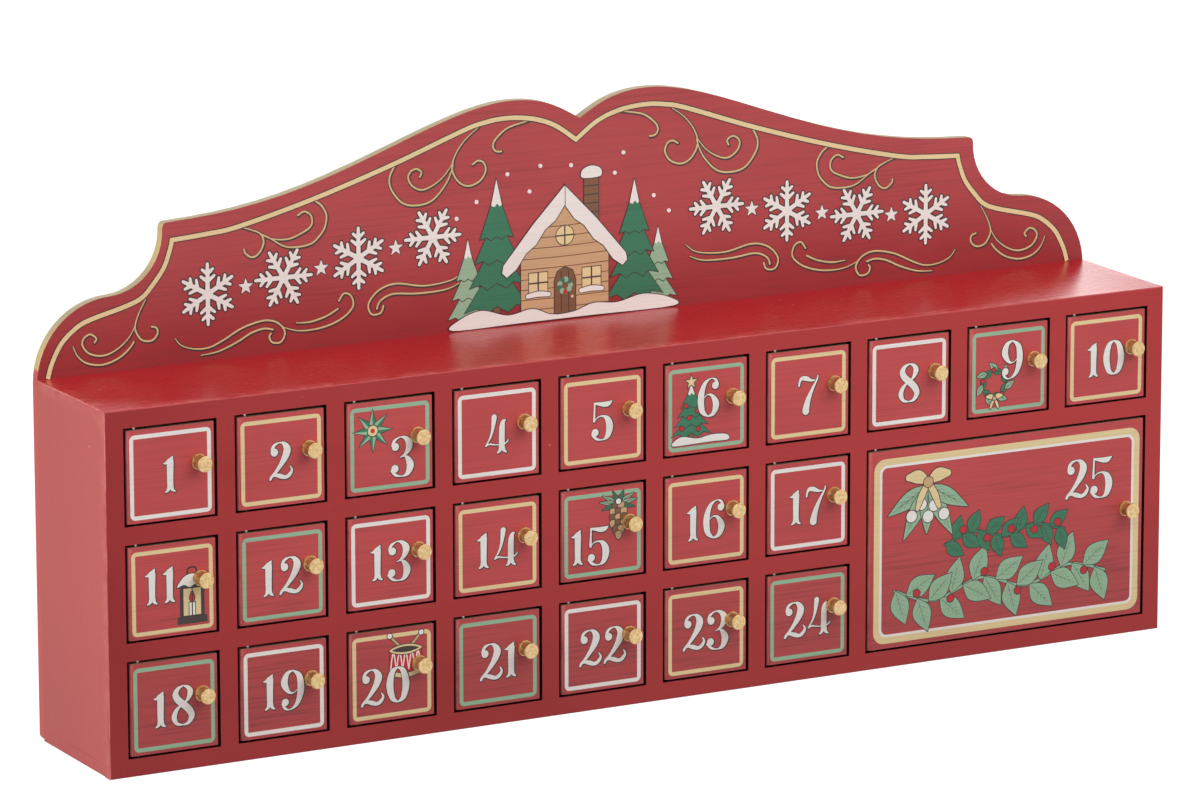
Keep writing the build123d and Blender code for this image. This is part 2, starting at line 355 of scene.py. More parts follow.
def crest_board():
    """The back board: grained, with a red that deepens towards the box as painted shade on its front, and a
    cream edge above it.
    """
    finish = Finish("crest_paint")
    # Painted shade: on the front, the red deepens towards the box; the back face keeps the lighter red.
    behind = finish.rise(facing(finish, 1), 0.3, 0.6)
    lift = finish.sum("MAXIMUM", behind, finish.rise(along(finish, 2), crest_shade_low, crest_shade_high))
    base = finish.mix(lift, tint(140, 26, 31), tint(165, 57, 60))
    pale = finish.mix(lift, tint(148, 32, 36), tint(172, 65, 67))
    colour = paint_colour(finish, base, tint(104, 30, 34), pale, 0.34, 0.8)
    edge = 1.0 - finish.rise(facing_share(finish, 1), 0.45, 0.70)
    above = finish.rise(along(finish, 2), cream_start, cream_start + edge_blur)
    # Painted shade: the cream edge is darker where it faces up; below the cream the edge takes the sides'
    # paler red, painted light.
    upward = finish.rise(facing(finish, 2), 0.3, 0.9)
    cream = finish.mix(upward, tint(193, 168, 119), tint(160, 143, 112))
    lit_and_shaded_edge_colour = finish.mix(above, side_lit_red, cream)
    colour = finish.mix(interior(finish) * (1.0 - behind), colour, bare_colour(finish))
    finish.surface(
        base_color=finish.mix(edge, colour, lit_and_shaded_edge_colour),
        roughness=0.42 + 0.12 * finish.noise(mottle_stretch) + 0.3 * edge * above,
        normal=finish.bump(finish.noise(grain_stretch), grain_depth),
    )
    return finish.material


def bare_wood():
    """Unpainted board inside the box."""
    finish = Finish("bare_board")
    fibre = finish.noise(brush_stretch)
    finish.surface(
        base_color=bare_colour(finish),
        roughness=0.62 + 0.12 * fibre,
        normal=finish.bump(fibre, fibre_depth),
    )
    return finish.material


def brass():
    """Satin brass with a pale, finely mottled face and browner turned sides, their brown a painted
    reflection of the red door.
    """
    finish = Finish("brass")
    mottle = finish.noise(hammered_stretch, detail=2.0)
    spots = finish.rise(mottle, 0.35, 0.68)
    face = finish.mix(spots, tint(196, 162, 109), tint(218, 193, 149))
    # Painted reflection: the turned sides take a browner brass, as if showing the red door.
    sides = finish.mix(spots, tint(172, 134, 86), tint(200, 164, 112))
    level = finish.rise(facing_share(finish, 1), 0.35, 0.85)
    finish.surface(
        base_color=finish.mix(level, sides, face),
        metallic=1.0,
        roughness=0.46 - 0.12 * level + 0.12 * spots,
        normal=finish.bump(mottle, grain_depth),
    )
    return finish.material


def steel(name, gap_shaded_low):
    """Bright drawn wire. With the low flag, the pins below the middle of a row of doors take the gaps' dark
    red, as painted shade, and lose their metal.
    """
    finish = Finish(name)
    drawn = finish.noise(drawn_stretch)
    colour = finish.mix(drawn, tint(172, 172, 174), tint(214, 214, 214))
    metal = 1.0
    if gap_shaded_low:
        # Painted shade: the lower pins darken to the gaps' red.
        rows_up = (along(finish, 2) - low_row_middle) * (1.0 / row_pitch)
        low = finish.rise(finish.node("ShaderNodeMath", {"operation": "FRACT"}, {0: rows_up}), 0.49, 0.51)
        colour = finish.mix(low, colour, gap_shade_red)
        metal = 1.0 - low
    finish.surface(
        base_color=colour,
        metallic=metal,
        roughness=0.24 + 0.16 * drawn,
        normal=finish.bump(drawn, drawn_depth),
    )
    return finish.material


def printed(name, colour, dark, grain_share):
    """A printed colour through which some of the wood grain shows, darkened a little towards the front's
    base as painted shade.
    """
    finish = Finish(name)
    pale = tuple(min(1.0, level * 1.08) for level in colour[:3]) + (1.0,)
    colour = paint_colour(finish, colour, dark, pale, grain_share, 0.7)
    finish.surface(
        # Painted shade: the print darkens a little towards the front's base.
        base_color=finish.mix(low_shade(finish) * 0.15, colour, dark),
        roughness=0.44 + 0.12 * finish.noise(mottle_stretch),
        normal=finish.bump(finish.noise(grain_stretch), grain_depth),
    )
    return finish.material


box_paint = box_board()
door_paint = door_board()
crest_paint = crest_board()
bare_board = bare_wood()
brass_metal = brass()
nail_steel = steel("nail_steel", gap_shaded_low=False)
pin_steel = steel("pin_steel", gap_shaded_low=True)
paints = {
    "white": printed("white_print", tint(228, 223, 217), tint(198, 168, 162), 0.20),
    "gold": printed("gold_print", tint(221, 198, 149), tint(182, 152, 104), 0.28),
    "green": printed("green_print", tint(144, 176, 145), tint(96, 126, 100), 0.28),
    "deep_green": printed("deep_green_print", tint(44, 112, 80), tint(28, 76, 54), 0.40),
    "old_gold": printed("old_gold_print", tint(207, 178, 130), tint(168, 138, 94), 0.28),
    "dark": printed("dark_print", tint(47, 33, 31), tint(30, 22, 22), 0.30),
    "tan": printed("tan_print", tint(196, 158, 118), tint(150, 112, 78), 0.35),
    "brown": printed("brown_print", tint(116, 78, 52), tint(82, 54, 38), 0.35),
    "bright_red": printed("bright_red_print", tint(186, 30, 40), tint(130, 18, 28), 0.35),
}
paint_order = list(paints)


# Painted shapes
square_end_share = 0.72
round_end_share = 0.35
round_end_steps = 3
corner_steps = 6
curve_steps = 6


def smooth_path(points, steps=curve_steps):
    """Points on a Catmull-Rom curve through the given ones. Each of their numbers is eased alike."""
    padded = [points[0], *points, points[-1]]
    path = []
    for before, start, end, after in zip(padded, padded[1:], padded[2:], padded[3:]):
        for step in range(steps):
            t = step / steps
            path.append(tuple(
                0.5 * (2 * b + (c - a) * t + (2 * a - 5 * b + 4 * c - d) * t**2
                       + (3 * b - a - 3 * c + d) * t**3)
                for a, b, c, d in zip(before, start, end, after)
            ))
    path.append(tuple(points[-1]))
    return path


def heading(path, index):
    """Unit direction of the path at one of its points."""
    before = path[max(index - 1, 0)]
    after = path[min(index + 1, len(path) - 1)]
    across = after[0] - before[0]
    up = after[1] - before[1]
    length = math.hypot(across, up)
    return across / length, up / length


def finish_ends(path, square):
    """The path with ends added: square ones as one more point, round ones as narrowing points."""
    ends = []
    for index, sign in ((0, -1), (len(path) - 1, 1)):
        x, z, half = path[index]
        across, up = heading(path, index)
        cap = []
        for step in range(1, round_end_steps + 1):
            angle = math.pi / 2 * step / (round_end_steps + round_end_share)
            reach = sign * half * math.sin(angle)
            cap.append((x + across * reach, z + up * reach, half * math.cos(angle)))
        if square:
            reach = sign * half * square_end_share
            cap = [(x + across * reach, z + up * reach, half)]
        ends.append(cap)
    return [*reversed(ends[0]), *path, *ends[1]]


def circle(x, z, radius, points=20):
    """Points on a circle about x, z, anticlockwise."""
    angles = [2 * math.pi / points * step for step in range(points)]
    return [(x + radius * math.cos(angle), z + radius * math.sin(angle)) for angle in angles]


def rectangle(x, half_width, low, high):
    """Corners of an upright rectangle about x, anticlockwise."""
    return [(x - half_width, low), (x + half_width, low), (x + half_width, high), (x - half_width, high)]


def rounded_frame(x, z, width, height, radius):
    """Outline of a rectangle about x, z with round corners, anticlockwise."""
    outline = []
    corners = ((1, 1, 0.0), (-1, 1, 0.5), (-1, -1, 1.0), (1, -1, 1.5))
    for right, up, start_share in corners:
        for step in range(corner_steps + 1):
            angle = math.pi * (start_share + 0.5 * step / corner_steps)
            outline.append((
                x + right * (width / 2 - radius) + radius * math.cos(angle),
                z + up * (height / 2 - radius) + radius * math.sin(angle),
            ))
    return outline


class Paintwork:
    """Thin painted shapes on one upright face that looks along -y, gathered into one mesh."""

    def __init__(self, face):
        self.face = face
        self.points = []
        self.faces = []
        self.paints = []

    def add_points(self, outline, depth):
        first = len(self.points)
        self.points += [(x, self.face - depth, z) for x, z, *_ in outline]
        return list(range(first, len(self.points)))

    def add_face(self, corners, paint):
        self.faces.append(tuple(corners))
        self.paints.append(paint_order.index(paint))

    def walls(self, front, back, paint):
        for i in range(len(front) - 1):
            self.add_face((front[i], back[i], back[i + 1], front[i + 1]), paint)

    def shape(self, outline, layer, paint):
        """A filled outline, anticlockwise as seen from the front."""
        front = self.add_points(outline, paint_layer * layer)
        back = self.add_points(outline, -paint_sunk)
        self.add_face(front, paint)
        self.add_face(reversed(back), paint)
        self.walls([*front, front[0]], [*back, back[0]], paint)

    def strip(self, left, right, layer, paint, closed=False):
        """A band between two lines of as many points, whose left side is to the left along the way."""
        depth = paint_layer * layer
        sides = [self.add_points(line, level) for level in (depth, -paint_sunk) for line in (left, right)]
        if closed:
            sides = [[*side, side[0]] for side in sides]
        front_left, front_right, back_left, back_right = sides
        for i in range(len(front_left) - 1):
            self.add_face((front_right[i], front_right[i + 1], front_left[i + 1], front_left[i]), paint)
            self.add_face((back_right[i], back_left[i], back_left[i + 1], back_right[i + 1]), paint)
        self.walls(front_right, back_right, paint)
        self.walls(front_left[::-1], back_left[::-1], paint)
        if not closed:
            self.walls((front_left[0], front_right[0]), (back_left[0], back_right[0]), paint)
            self.walls((front_right[-1], front_left[-1]), (back_right[-1], back_left[-1]), paint)

    def ribbon(self, points, layer, paint, grow=0.0, shift=(0.0, 0.0), steps=curve_steps, square=False):
        """A smooth stroke through points of place and half width, grown on all sides and shifted."""
        path = [(x + shift[0], z + shift[1], half + grow) for x, z, half in smooth_path(points, steps)]
        path = finish_ends(path, square)
        left, right = [], []
        for index, (x, z, half) in enumerate(path):
            across, up = heading(path, index)
            left.append((x - up * half, z + across * half))
            right.append((x + up * half, z - across * half))
        self.strip(left, right, layer, paint)

    def ring(self, outer, inner, layer, paint):
        """A closed band between two outlines that run anticlockwise."""
        self.strip(inner, outer, layer, paint, closed=True)

    def make(self, name, body):
        """Turns the shapes into one piece that rides on the body."""
        mesh = bpy.data.meshes.new(name)
        mesh.from_pydata(self.points, [], self.faces)
        used = sorted(set(self.paints))
        for index in used:
            mesh.materials.append(paints[paint_order[index]])
        for face, paint in zip(mesh.polygons, self.paints):
            face.material_index = used.index(paint)
        piece = bpy.data.objects.new(name, mesh)
        bpy.context.collection.objects.link(piece)
        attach(piece, body)


# Numerals: strokes of place and half width, balls of place and radius, as shares of the height
def mirrored(stroke):
    return [(-x, z, half) for x, z, half in stroke]


left_foot_shares = [(0.0, 0.26, 0.085), (-0.028, 0.16, 0.064), (-0.068, 0.07, 0.043), (-0.135, 0.022, 0.018)]
foot_shares = [left_foot_shares, mirrored(left_foot_shares)]
one_shares = [
    [(0.0, 0.20, 0.088), (0.0, 0.50, 0.092), (0.006, 0.84, 0.098)],
    [(0.0, 0.80, 0.098), (0.035, 0.90, 0.062), (0.085, 0.975, 0.012)],
    [(0.05, 0.93, 0.035), (-0.03, 0.86, 0.058), (-0.11, 0.812, 0.040), (-0.188, 0.805, 0.012)],
    *foot_shares,
]
two_shares = [
    [(-0.265, 0.76, 0.046), (-0.235, 0.88, 0.044), (-0.15, 0.955, 0.034), (-0.02, 0.985, 0.018),
     (0.10, 0.94, 0.060), (0.185, 0.79, 0.105), (0.13, 0.60, 0.096), (0.0, 0.40, 0.066),
     (-0.17, 0.20, 0.044), (-0.29, 0.09, 0.038), (-0.325, 0.03, 0.034)],
    [(-0.27, 0.10, 0.018), (-0.16, 0.125, 0.044), (-0.02, 0.085, 0.062), (0.13, 0.045, 0.050),
     (0.25, 0.10, 0.052), (0.325, 0.22, 0.034), (0.27, 0.325, 0.014)],
]
three_shares = [
    [(-0.27, 0.79, 0.034), (-0.21, 0.91, 0.040), (-0.05, 0.988, 0.016), (0.10, 0.945, 0.058),
     (0.205, 0.80, 0.104), (0.145, 0.62, 0.066), (0.05, 0.53, 0.030), (-0.05, 0.487, 0.012)],
    [(-0.05, 0.487, 0.012), (0.06, 0.505, 0.018), (0.15, 0.44, 0.066), (0.225, 0.27, 0.106),
     (0.15, 0.075, 0.066), (0.0, 0.014, 0.016), (-0.18, 0.055, 0.038), (-0.29, 0.17, 0.040)],
]
four_stem_share = 0.145
four_shares = [
    [(-0.085, 0.925, 0.078), (-0.105, 0.78, 0.064), (-0.145, 0.58, 0.040), (-0.22, 0.40, 0.026),
     (-0.335, 0.245, 0.014)],
    [(-0.345, 0.225, 0.022), (-0.24, 0.262, 0.024), (-0.06, 0.232, 0.017), (0.10, 0.225, 0.018),
     (0.26, 0.245, 0.020), (0.345, 0.315, 0.016)],
    [(0.255, 0.825, 0.020), (0.19, 0.79, 0.055), (0.155, 0.66, 0.082), (four_stem_share, 0.42, 0.088),
     (four_stem_share, 0.20, 0.088)],
    *[[(x + four_stem_share, z, half) for x, z, half in stroke] for stroke in foot_shares],
]
five_shares = [
    [(-0.215, 0.965, 0.026), (-0.08, 0.94, 0.046), (0.08, 0.915, 0.070), (0.20, 0.925, 0.066),
     (0.30, 0.975, 0.018)],
    [(-0.215, 0.965, 0.026), (-0.222, 0.75, 0.027), (-0.232, 0.55, 0.034), (-0.228, 0.51, 0.036)],
    [(-0.20, 0.54, 0.012), (-0.10, 0.607, 0.016), (0.05, 0.615, 0.030), (0.18, 0.52, 0.082),
     (0.235, 0.33, 0.106), (0.17, 0.10, 0.072), (0.02, 0.014, 0.016), (-0.17, 0.055, 0.038),
     (-0.28, 0.17, 0.040)],
]
six_shares = [
    [(0.265, 0.83, 0.034), (0.20, 0.945, 0.036), (0.07, 0.986, 0.014), (-0.10, 0.88, 0.054),
     (-0.20, 0.65, 0.088), (-0.225, 0.42, 0.098), (-0.18, 0.16, 0.078), (-0.02, 0.014, 0.016)],
    [(-0.14, 0.50, 0.012), (-0.03, 0.575, 0.014), (0.10, 0.54, 0.048), (0.215, 0.32, 0.100),
     (0.14, 0.09, 0.064), (-0.02, 0.014, 0.016)],
]
seven_shares = [
    [(-0.275, 0.76, 0.026), (-0.255, 0.86, 0.032), (-0.19, 0.94, 0.052), (-0.05, 0.925, 0.066),
     (0.09, 0.870, 0.036), (0.20, 0.865, 0.018)],
    [(0.305, 0.975, 0.016), (0.27, 0.87, 0.026), (0.14, 0.66, 0.042), (0.01, 0.40, 0.076),
     (-0.06, 0.17, 0.102), (-0.065, 0.10, 0.104)],
]
eight_shares = [
    [(0.02, 0.985, 0.016), (-0.13, 0.92, 0.052), (-0.20, 0.78, 0.086), (-0.12, 0.63, 0.094),
     (0.06, 0.48, 0.096), (0.19, 0.34, 0.096), (0.235, 0.20, 0.082), (0.14, 0.05, 0.046),
     (-0.01, 0.014, 0.016)],
    [(0.02, 0.985, 0.016), (0.15, 0.92, 0.056), (0.205, 0.80, 0.082), (0.13, 0.63, 0.046),
     (0.0, 0.535, 0.016), (-0.17, 0.40, 0.052), (-0.245, 0.22, 0.076), (-0.17, 0.06, 0.046),
     (-0.01, 0.014, 0.016)],
]
left_nought_shares = [
    (0.0, 0.98, 0.018), (-0.15, 0.86, 0.076), (-0.225, 0.50, 0.104), (-0.15, 0.14, 0.076),
    (0.0, 0.02, 0.018),
]
nought_shares = [left_nought_shares, mirrored(left_nought_shares)]
nine_shares = [[(-x, 1 - z, half) for x, z, half in stroke] for stroke in six_shares]
stroke_shares = {
    "0": nought_shares, "1": one_shares, "2": two_shares, "3": three_shares, "4": four_shares,
    "5": five_shares, "6": six_shares, "7": seven_shares, "8": eight_shares, "9": nine_shares,
}
ball_shares = {
    "2": [(-0.195, 0.735, 0.108)],
    "3": [(-0.185, 0.755, 0.108), (-0.205, 0.215, 0.108)],
    "5": [(-0.205, 0.215, 0.108)],
    "6": [(0.195, 0.795, 0.104)],
    "9": [(-0.195, 0.205, 0.104)],
}
# Left and right reach of each numeral, as shares of the height
reach_shares = {
    "0": (-0.33, 0.33), "1": (-0.20, 0.155), "2": (-0.36, 0.36), "3": (-0.31, 0.33), "4": (-0.37, 0.36),
    "5": (-0.31, 0.34), "6": (-0.32, 0.32), "7": (-0.30, 0.32), "8": (-0.32, 0.32), "9": (-0.32, 0.32),
}
# Foot and head of each numeral as shares of the height, and its breadth as a share of the one drawn
level_shares = {
    "0": (0.0, 1.01, 1.08), "1": (0.0, 1.0, 1.0), "2": (0.0, 1.02, 0.98), "3": (-0.075, 1.035, 1.07),
    "4": (-0.02, 1.09, 1.0), "5": (-0.07, 1.02, 1.02), "6": (0.0, 1.09, 1.08), "7": (-0.085, 1.035, 1.04),
    "8": (-0.015, 1.095, 1.07), "9": (-0.075, 1.035, 1.11),
}
numeral_gap_share = 0.055
gap_after_one_share = 0.16
numeral_outline = 0.36 * mm
numeral_shadow = (0.13 * mm, -0.12 * mm)
# Layers of paint from a numeral's outline up to its white, and from one stroke to the next
numeral_white_layers = 4
numeral_stroke_layers = 0.4


def numeral(work, text, x, z, height, layer):
    """White numerals with a dark outline, centred on x, z. Some hang lower, some stand taller."""
    breadths = [level_shares[sign][2] * height for sign in text]
    spans = [[reach * breadth for reach in reach_shares[sign]] for sign, breadth in zip(text, breadths)]
    gaps = [(gap_after_one_share if sign == "1" else numeral_gap_share) * height for sign in text]
    gaps[-1] = 0.0
    left = x - (sum(right - start for start, right in spans) + sum(gaps)) / 2
    lowest = min(level_shares[sign][0] for sign in text)
    highest = max(level_shares[sign][1] for sign in text)
    base = z - (lowest + highest) / 2 * height
    white_layer = layer + numeral_white_layers
    for sign, breadth, span, gap in zip(text, breadths, spans, gaps):
        foot_share, head_share, _ = level_shares[sign]
        tall = (head_share - foot_share) * height
        middle = left - span[0]
        foot = base + foot_share * height
        left += span[1] - span[0] + gap
        for across_share, up_share, radius_share in ball_shares.get(sign, []):
            ball = (middle + across_share * breadth, foot + up_share * tall)
            under = (ball[0] + numeral_shadow[0], ball[1] + numeral_shadow[1])
            work.shape(circle(*under, radius_share * height + numeral_outline), layer, "dark")
            work.shape(circle(*ball, radius_share * height), white_layer, "white")
        for order, stroke in enumerate(stroke_shares[sign], start=1):
            points = [(middle + a * breadth, foot + b * tall, half * height) for a, b, half in stroke]
            lift = numeral_stroke_layers * order
            work.ribbon(points, layer + lift, "dark", numeral_outline, numeral_shadow)
            work.ribbon(points, white_layer + lift, "white")


# Motifs, drawn in millimetres about a place on the face
art_outline = 0.35 * mm
stamp_layers = 0.5
dot_points = 16
line_steps = 3
# A leaf: where it is widest and how wide, as shares of its length and width, and the half widths of its ends
leaf_body_shares = ((0.3, 0.46), (0.6, 0.44))
leaf_foot_half = 0.12
leaf_tip_half = 0.08
# Its middle vein from end to end, and its side veins, as shares too
vein_end_shares = (0.08, 0.88)
vein_halves = (0.10, 0.05)
side_vein_shares = (0.22, 0.36, 0.50, 0.64)
side_vein_halves = (0.05, 0.03)
side_vein_run_share = 0.15
side_vein_foot_share = 0.02
side_vein_reach_share = 0.33
side_vein_taper_share = 1.15
# For outlines: a corner sharper than this moves out square to one side, and no corner moves out too far
sharp_turn_share = 0.2
least_spread_share = 0.45


def lined(points, half):
    """The points with one half width for all of them."""
    return [(x, z, half) for x, z in points]


def around(radius, degrees):
    """Place on a circle about the middle."""
    angle = math.radians(degrees)
    return radius * math.cos(angle), radius * math.sin(angle)


class Stamp:
    """Draws shapes given in millimetres about one place of a Paintwork, with dark outlines under them."""

    def __init__(self, work, x, z, layer, turn=0.0, scale=1.0):
        self.work = work
        self.x = x
        self.z = z
        self.layer = layer
        self.cos = math.cos(math.radians(turn)) * scale * mm
        self.sin = math.sin(math.radians(turn)) * scale * mm
        self.scale = scale * mm

    def at(self, x, z):
        return self.x + x * self.cos - z * self.sin, self.z + x * self.sin + z * self.cos

    def next_layer(self):
        self.layer += stamp_layers

    def stroke(self, points, paint, outline=art_outline):
        """A tapering stroke through points of place and half width."""
        if outline:
            self.work.ribbon(self.placed(points), self.layer, "dark", outline)
            self.next_layer()
        self.work.ribbon(self.placed(points), self.layer, paint)
        self.next_layer()

    def lines(self, strokes, paint):
        """Thin strokes that share one layer, without an outline."""
        for points in strokes:
            self.work.ribbon(self.placed(points), self.layer, paint, steps=line_steps)
        self.next_layer()

    def placed(self, points):
        return [(*self.at(x, z), half * self.scale) for x, z, half in points]

    def fill(self, points, paint, outline=art_outline):
        """A filled outline, anticlockwise, with straight sides."""
        placed = [self.at(x, z) for x, z in points]
        if outline:
            self.work.shape(grown(placed, outline), self.layer, "dark")
            self.next_layer()
        self.work.shape(placed, self.layer, paint)
        self.next_layer()

    def blob(self, points, paint, outline=art_outline):
        """A filled outline, anticlockwise, with a smooth edge through its points."""
        path = smooth_path([points[-1], *points, points[0], points[1]])
        self.fill(path[curve_steps:-curve_steps - 1], paint, outline)

    def dots(self, places, radius, paint):
        """Round dots that share one layer, without an outline."""
        for x, z in places:
            outline = [self.at(*point) for point in circle(x, z, radius, dot_points)]
            self.work.shape(outline, self.layer, paint)
        self.next_layer()

    def dot(self, x, z, radius, paint, outline=art_outline):
        self.fill(circle(x, z, radius, dot_points), paint, outline)

    def leaf(self, x, z, angle, length, width, paint):
        """A pointed leaf from x, z along angle, with its veins."""
        turn = angle + math.degrees(math.atan2(self.sin, self.cos))
        tip = Stamp(self.work, *self.at(x, z), self.layer, turn, self.scale / mm)
        body = [(place * length, 0.0, breadth * width) for place, breadth in leaf_body_shares]
        tip.stroke([(0.0, 0.0, leaf_foot_half), *body, (length, 0.0, leaf_tip_half)], paint)
        veins = [[(share * length, 0.0, half) for share, half in zip(vein_end_shares, vein_halves)]]
        for share in side_vein_shares:
            for side in (-1, 1):
                foot = (share * length, side_vein_foot_share * side * width)
                reach = side * side_vein_reach_share * width * (side_vein_taper_share - share)
                end = ((share + side_vein_run_share) * length, reach)
                veins.append([(*foot, side_vein_halves[0]), (*end, side_vein_halves[1])])
        tip.lines(veins, "dark")
        self.layer = tip.layer


def grown(outline, reach):
    """The outline moved outwards by reach. It runs anticlockwise."""
    moved = []
    for index, (x, z) in enumerate(outline):
        before = Vector(outline[index - 1])
        here = Vector((x, z))
        after = Vector(outline[(index + 1) % len(outline)])
        first = (here - before).normalized()
        second = (after - here).normalized()
        out = Vector((first.y + second.y, -first.x - second.x))
        if out.length < sharp_turn_share:
            out = Vector((first.y, -first.x))
        out.normalize()
        spread = max(least_spread_share, out.dot(Vector((first.y, -first.x))))
        moved.append(tuple(here + out * (reach / spread)))
    return moved


def star_points(x, z, outer, inner, count):
    """Outline of a star that points up, anticlockwise."""
    points = []
    for step in range(2 * count):
        radius = inner if step % 2 else outer
        angle = math.radians(90.0 + 180.0 * step / count)
        points.append((x + radius * math.cos(angle), z + radius * math.sin(angle)))
    return points


# A snow flake, with its twigs in pairs, as shares of its radius and of the arms' half width
flake_arms = 6
flake_half_share = 0.075
flake_tip_share = 0.7
twig_place_shares = (0.42, 0.68)
twig_length_shares = (0.30, 0.24)
twig_half_shares = (0.9, 0.8, 0.6)
twig_angle = math.pi / 3.4
flake_heart_shares = (0.26, 0.18)
flake_outline = 0.55 * mm
flake_steps = 2
# Layers of paint from one stroke of a flake to the next, and from its outlines up to its white
flake_stroke_layers = 0.3
flake_layers = 10


def snowflake(stamp, radius):
    """Arms with two pairs of twigs each. The outlines of all arms lie under all arms."""
    strokes = []
    half = flake_half_share * radius
    for arm in range(flake_arms):
        angle = math.radians(90.0 + 360.0 / flake_arms * arm)
        way = Vector((math.cos(angle), math.sin(angle)))
        tip = way * radius
        strokes.append([(0.0, 0.0, half), (*(tip * 0.5), half), (*tip, half * flake_tip_share)])
        for place_share, length_share in zip(twig_place_shares, twig_length_shares):
            for side in (-1, 1):
                turn = angle + side * twig_angle
                foot = way * radius * place_share
                end = foot + Vector((math.cos(turn), math.sin(turn))) * radius * length_share
                places = (foot, (foot + end) / 2, end)
                strokes.append([(*place, half * share) for place, share in zip(places, twig_half_shares)])
    for grow, paint in ((flake_outline, "dark"), (0.0, "white")):
        for order, points in enumerate(strokes):
            layer = stamp.layer + order * flake_stroke_layers
            stamp.work.ribbon(stamp.placed(points), layer, paint, grow, steps=flake_steps)
        stamp.layer += flake_layers
    outer, inner = [share * radius for share in flake_heart_shares]
    stamp.fill(star_points(0.0, 0.0, outer, inner, flake_arms), "white", 0.0)


# A fir: its trunk and tiers as shares of its height and half width
trunk_share = 0.09
trunk_half_share = 0.10
trunk_top_share = 1.6
tiers_share = 0.72
tier_overlap_share = 0.26
tier_narrowing_share = 0.66
scallop_share = 0.10
# Outlines of a tier and of its snow: shares of its reach and height, and scallops up or down
tier_shares = (
    (-1.0, 0.0, 0), (-0.62, 0.0, 1), (-0.36, 0.0, -1), (0.0, 0.0, 1), (0.36, 0.0, -1), (0.62, 0.0, 1),
    (1.0, 0.0, 0), (0.34, 0.55, 0), (0.0, 1.0, 0), (-0.34, 0.55, 0),
)
tier_snow_shares = (
    (-0.33, 0.56, 0), (-0.12, 0.56, -1), (0.05, 0.56, 1), (0.2, 0.56, -1), (0.33, 0.56, 0), (0.0, 1.0, 0),
)


def fir_tree(stamp, height, half_width, tiers, paint):
    """A fir in scalloped tiers, wider to the foot, with snow on them."""
    trunk = trunk_share * height
    stamp.fill(rectangle(0.0, trunk_half_share * half_width, 0.0, trunk * trunk_top_share), "brown")
    for tier in range(tiers):
        low = trunk + (height - trunk) * tiers_share * tier / tiers
        rise = (height - trunk) * (tiers_share / tiers + tier_overlap_share)
        reach = half_width * (1.0 - tier_narrowing_share * tier / tiers)
        drop = scallop_share * reach
        for shares, colour, outline in ((tier_shares, paint, art_outline), (tier_snow_shares, "white", 0.0)):
            points = [(a * reach, low + b * rise + drops * drop) for a, b, drops in shares]
            stamp.fill(points, colour, outline)


# Scrollwork of the crest's left half, as places in millimetres in the frame; the right half mirrors it
crest_border_ear = [
    (-233.6, 147.0), (-231.9, 152.3), (-228.0, 159.4), (-222.4, 164.6), (-216.0, 167.8), (-200.1, 171.8),
    (-192.9, 174.6), (-188.1, 179.4), (-183.3, 185.7), (-180.5, 192.9), (-179.7, 196.3),
]
crest_border_slope = [
    (-179.7, 196.3), (-164.2, 197.3), (-150.6, 198.9), (-118.9, 206.5), (-83.3, 217.1), (-51.5, 228.0),
    (-41.5, 230.5), (-31.4, 231.4), (-19.7, 230.1), (-9.6, 226.5), (0.0, 219.8),
]
ear_scrolls = [
    [(-191.3, 173.8), (-194.5, 168.2), (-196.1, 163.4), (-195.3, 160.2), (-192.9, 157.4), (-188.9, 157.0),
     (-186.5, 159.4), (-186.9, 161.8), (-188.9, 162.5)],
    [(-195.9, 163.8), (-199.3, 158.6), (-204.8, 154.6), (-210.4, 153.1), (-216.0, 154.6), (-218.8, 158.2),
     (-218.0, 161.0), (-215.2, 162.2), (-212.8, 160.2), (-213.6, 158.8)],
    [(-222.8, 158.0), (-220.8, 153.9), (-216.8, 150.7), (-210.4, 149.5), (-204.0, 151.1), (-199.3, 154.2),
     (-196.7, 157.2)],
]
shoulder_scrolls = [
    [(-149.8, 198.5), (-145.0, 196.9), (-141.1, 194.9), (-139.9, 191.3), (-141.9, 187.3), (-145.0, 185.9),
     (-147.8, 187.7), (-148.4, 189.3)],
    [(-141.6, 195.2), (-136.3, 192.5), (-129.1, 191.7), (-122.7, 193.7), (-118.9, 196.2), (-118.9, 200.0),
     (-121.8, 202.1), (-124.7, 200.8)],
    [(-141.3, 195.0), (-137.9, 193.3), (-130.7, 188.9), (-124.3, 188.1), (-118.9, 188.9), (-115.5, 191.4),
     (-113.0, 194.8), (-112.2, 199.6), (-114.3, 203.7), (-117.6, 206.2)],
]
hump_scrolls = [
    [(-44.0, 228.9), (-49.8, 224.7), (-54.0, 219.7), (-56.1, 214.6), (-55.3, 210.4), (-52.3, 206.7),
     (-48.2, 205.4), (-43.5, 207.1), (-41.0, 210.9), (-41.9, 214.2), (-44.4, 215.3), (-46.9, 214.0)],
    [(-55.6, 215.6), (-59.9, 210.4), (-64.9, 207.1), (-69.9, 205.8), (-74.1, 207.9), (-75.8, 211.3),
     (-74.5, 213.8), (-72.0, 214.5), (-69.9, 213.0), (-70.6, 211.1)],
    [(-55.7, 215.2), (-56.1, 213.0), (-59.0, 207.1), (-64.9, 201.2), (-71.6, 199.7), (-78.3, 201.2),
     (-83.3, 207.1), (-84.1, 212.1), (-81.6, 217.0)],
    [(-18.0, 230.0), (-24.7, 228.9), (-31.4, 227.2), (-36.4, 223.4), (-37.7, 220.5), (-36.4, 218.4),
     (-33.9, 218.1)],
]
